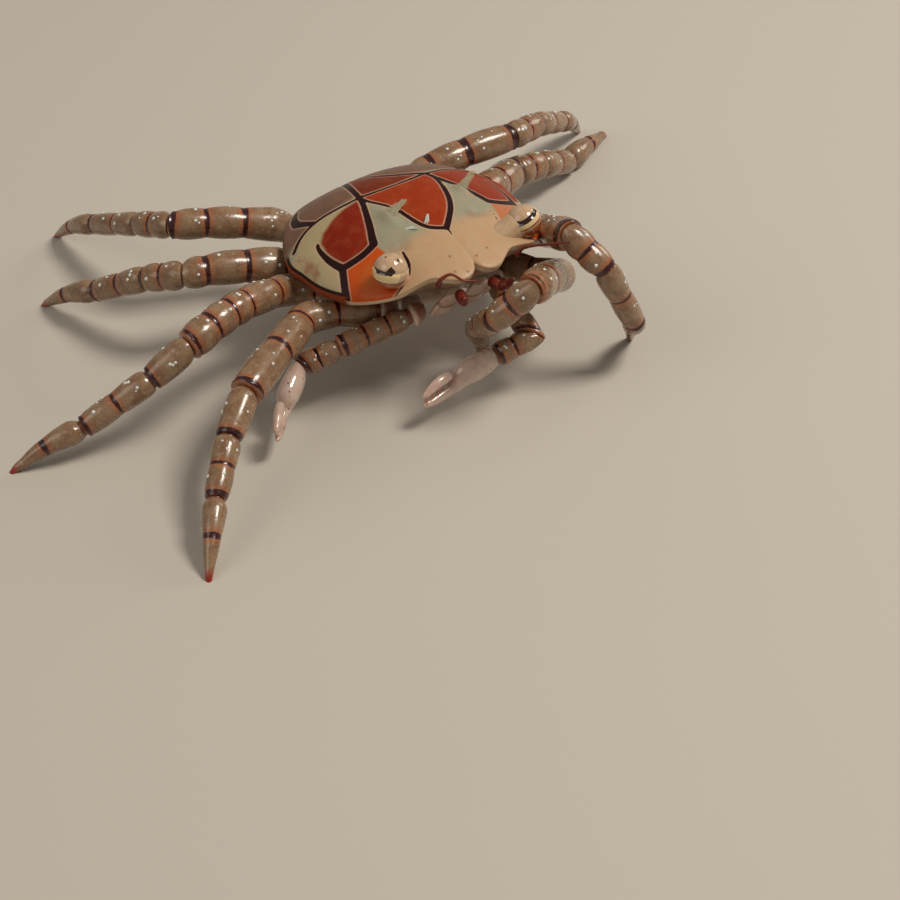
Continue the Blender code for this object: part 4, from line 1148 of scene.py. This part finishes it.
for side in ("L", "R"):
    line, along = spread(JAW, 70)
    turns = np.arange(48) * 2 * pi / 48
    rows = []
    for y, z, half, thick in line:
        rows.append([np.array(on_side((JAW_X, y, z), side)) + np.array((cos(w) * half, 0, 0))
                     + np.array(JAW_THICKNESS_WAY) * (sin(w) * thick) for w in turns])
    share = along / along[-1]
    grooves = abs(share - 0.58) * 3.2
    rows = np.array(rows)
    centre = rows.mean(1, keepdims=True)
    rows = centre + (rows - centre) * (1 - 0.16 * np.exp(-(grooves / 0.08) ** 2))[:, None, None]
    build = Build("line")
    build.add(rows, line=grooves[:, None])
    # The slim feeler-like branch along the plate's outer edge
    controls = [(*on_side(branch[:3], side), branch[3]) for branch in JAW_BRANCH]
    rows, numbers, _ = tube(controls, None, None, ((0.7, 0.03),), sides=16, grain=0.06)
    build.add(rows, line=numbers["ring"])
    fit(build.object(f"maxilliped_{side}_plates", under_finish), f"maxilliped_{side}")


# The feelers: two short stout ones under the forehead and two thin whips beside them.
WHIP = {
    "R": ((-2.8, -6.5, 8.75), (-2.75, -6.8, 9.4), (-2.3, -7.0, 9.65), (-1.6, -7.45, 9.2), (-0.8, -7.8, 9.1)),
    "L": ((2.8, -6.5, 8.75), (3.1, -6.75, 9.3), (3.45, -7.25, 9.6), (3.95, -8.1, 10.0), (4.7, -9.3, 10.55)),
}
WHIP_RADII = (0.19, 0.12, 0.09, 0.08, 0.04)
STOUT = ((1.15, -6.3, 7.4, 0.34), (1.3, -6.9, 7.35, 0.32), (1.6, -7.4, 7.65, 0.24), (1.72, -7.65, 8.0, 0.15),
         (1.76, -7.77, 8.2, 0.08))
feeler_finish = Finish("feeler", Roughness=0.4, Specular_IOR_Level=0.3, Coat_Weight=0.1, Coat_Roughness=0.1)
f = feeler_finish
coat = f.colour((0.15, 0.015, 0.007)).tint(f.cloud(0.4).rise(0.4, 0.7) * 0.5, (0.07, 0.008, 0.005))
coat = coat.tint(f.number("ring").rise(0.03, 0.0) * 0.35, (0.40, 0.12, 0.05))
f.paint(Base_Color=coat)
for side in ("L", "R"):
    whip = [(*place, radius) for place, radius in zip(WHIP[side], WHIP_RADII)]
    stout = [(*on_side(place[:3], side), place[3]) for place in STOUT]
    for name, controls, marks in (("antenna", whip, [(0.05 * k, 0.012) for k in range(2, 20)]),
                                  ("antennule", stout, [(0.35, 0.03), (0.65, 0.03)])):
        rows, numbers, _ = tube(controls, None, None, marks, sides=20, bulge=0.12, grain=0.025)
        build = Build("ring")
        build.add(rows, ring=numbers["ring"])
        fit(build.object(f"{name}_{side}_rod", feeler_finish), f"{name}_{side}")
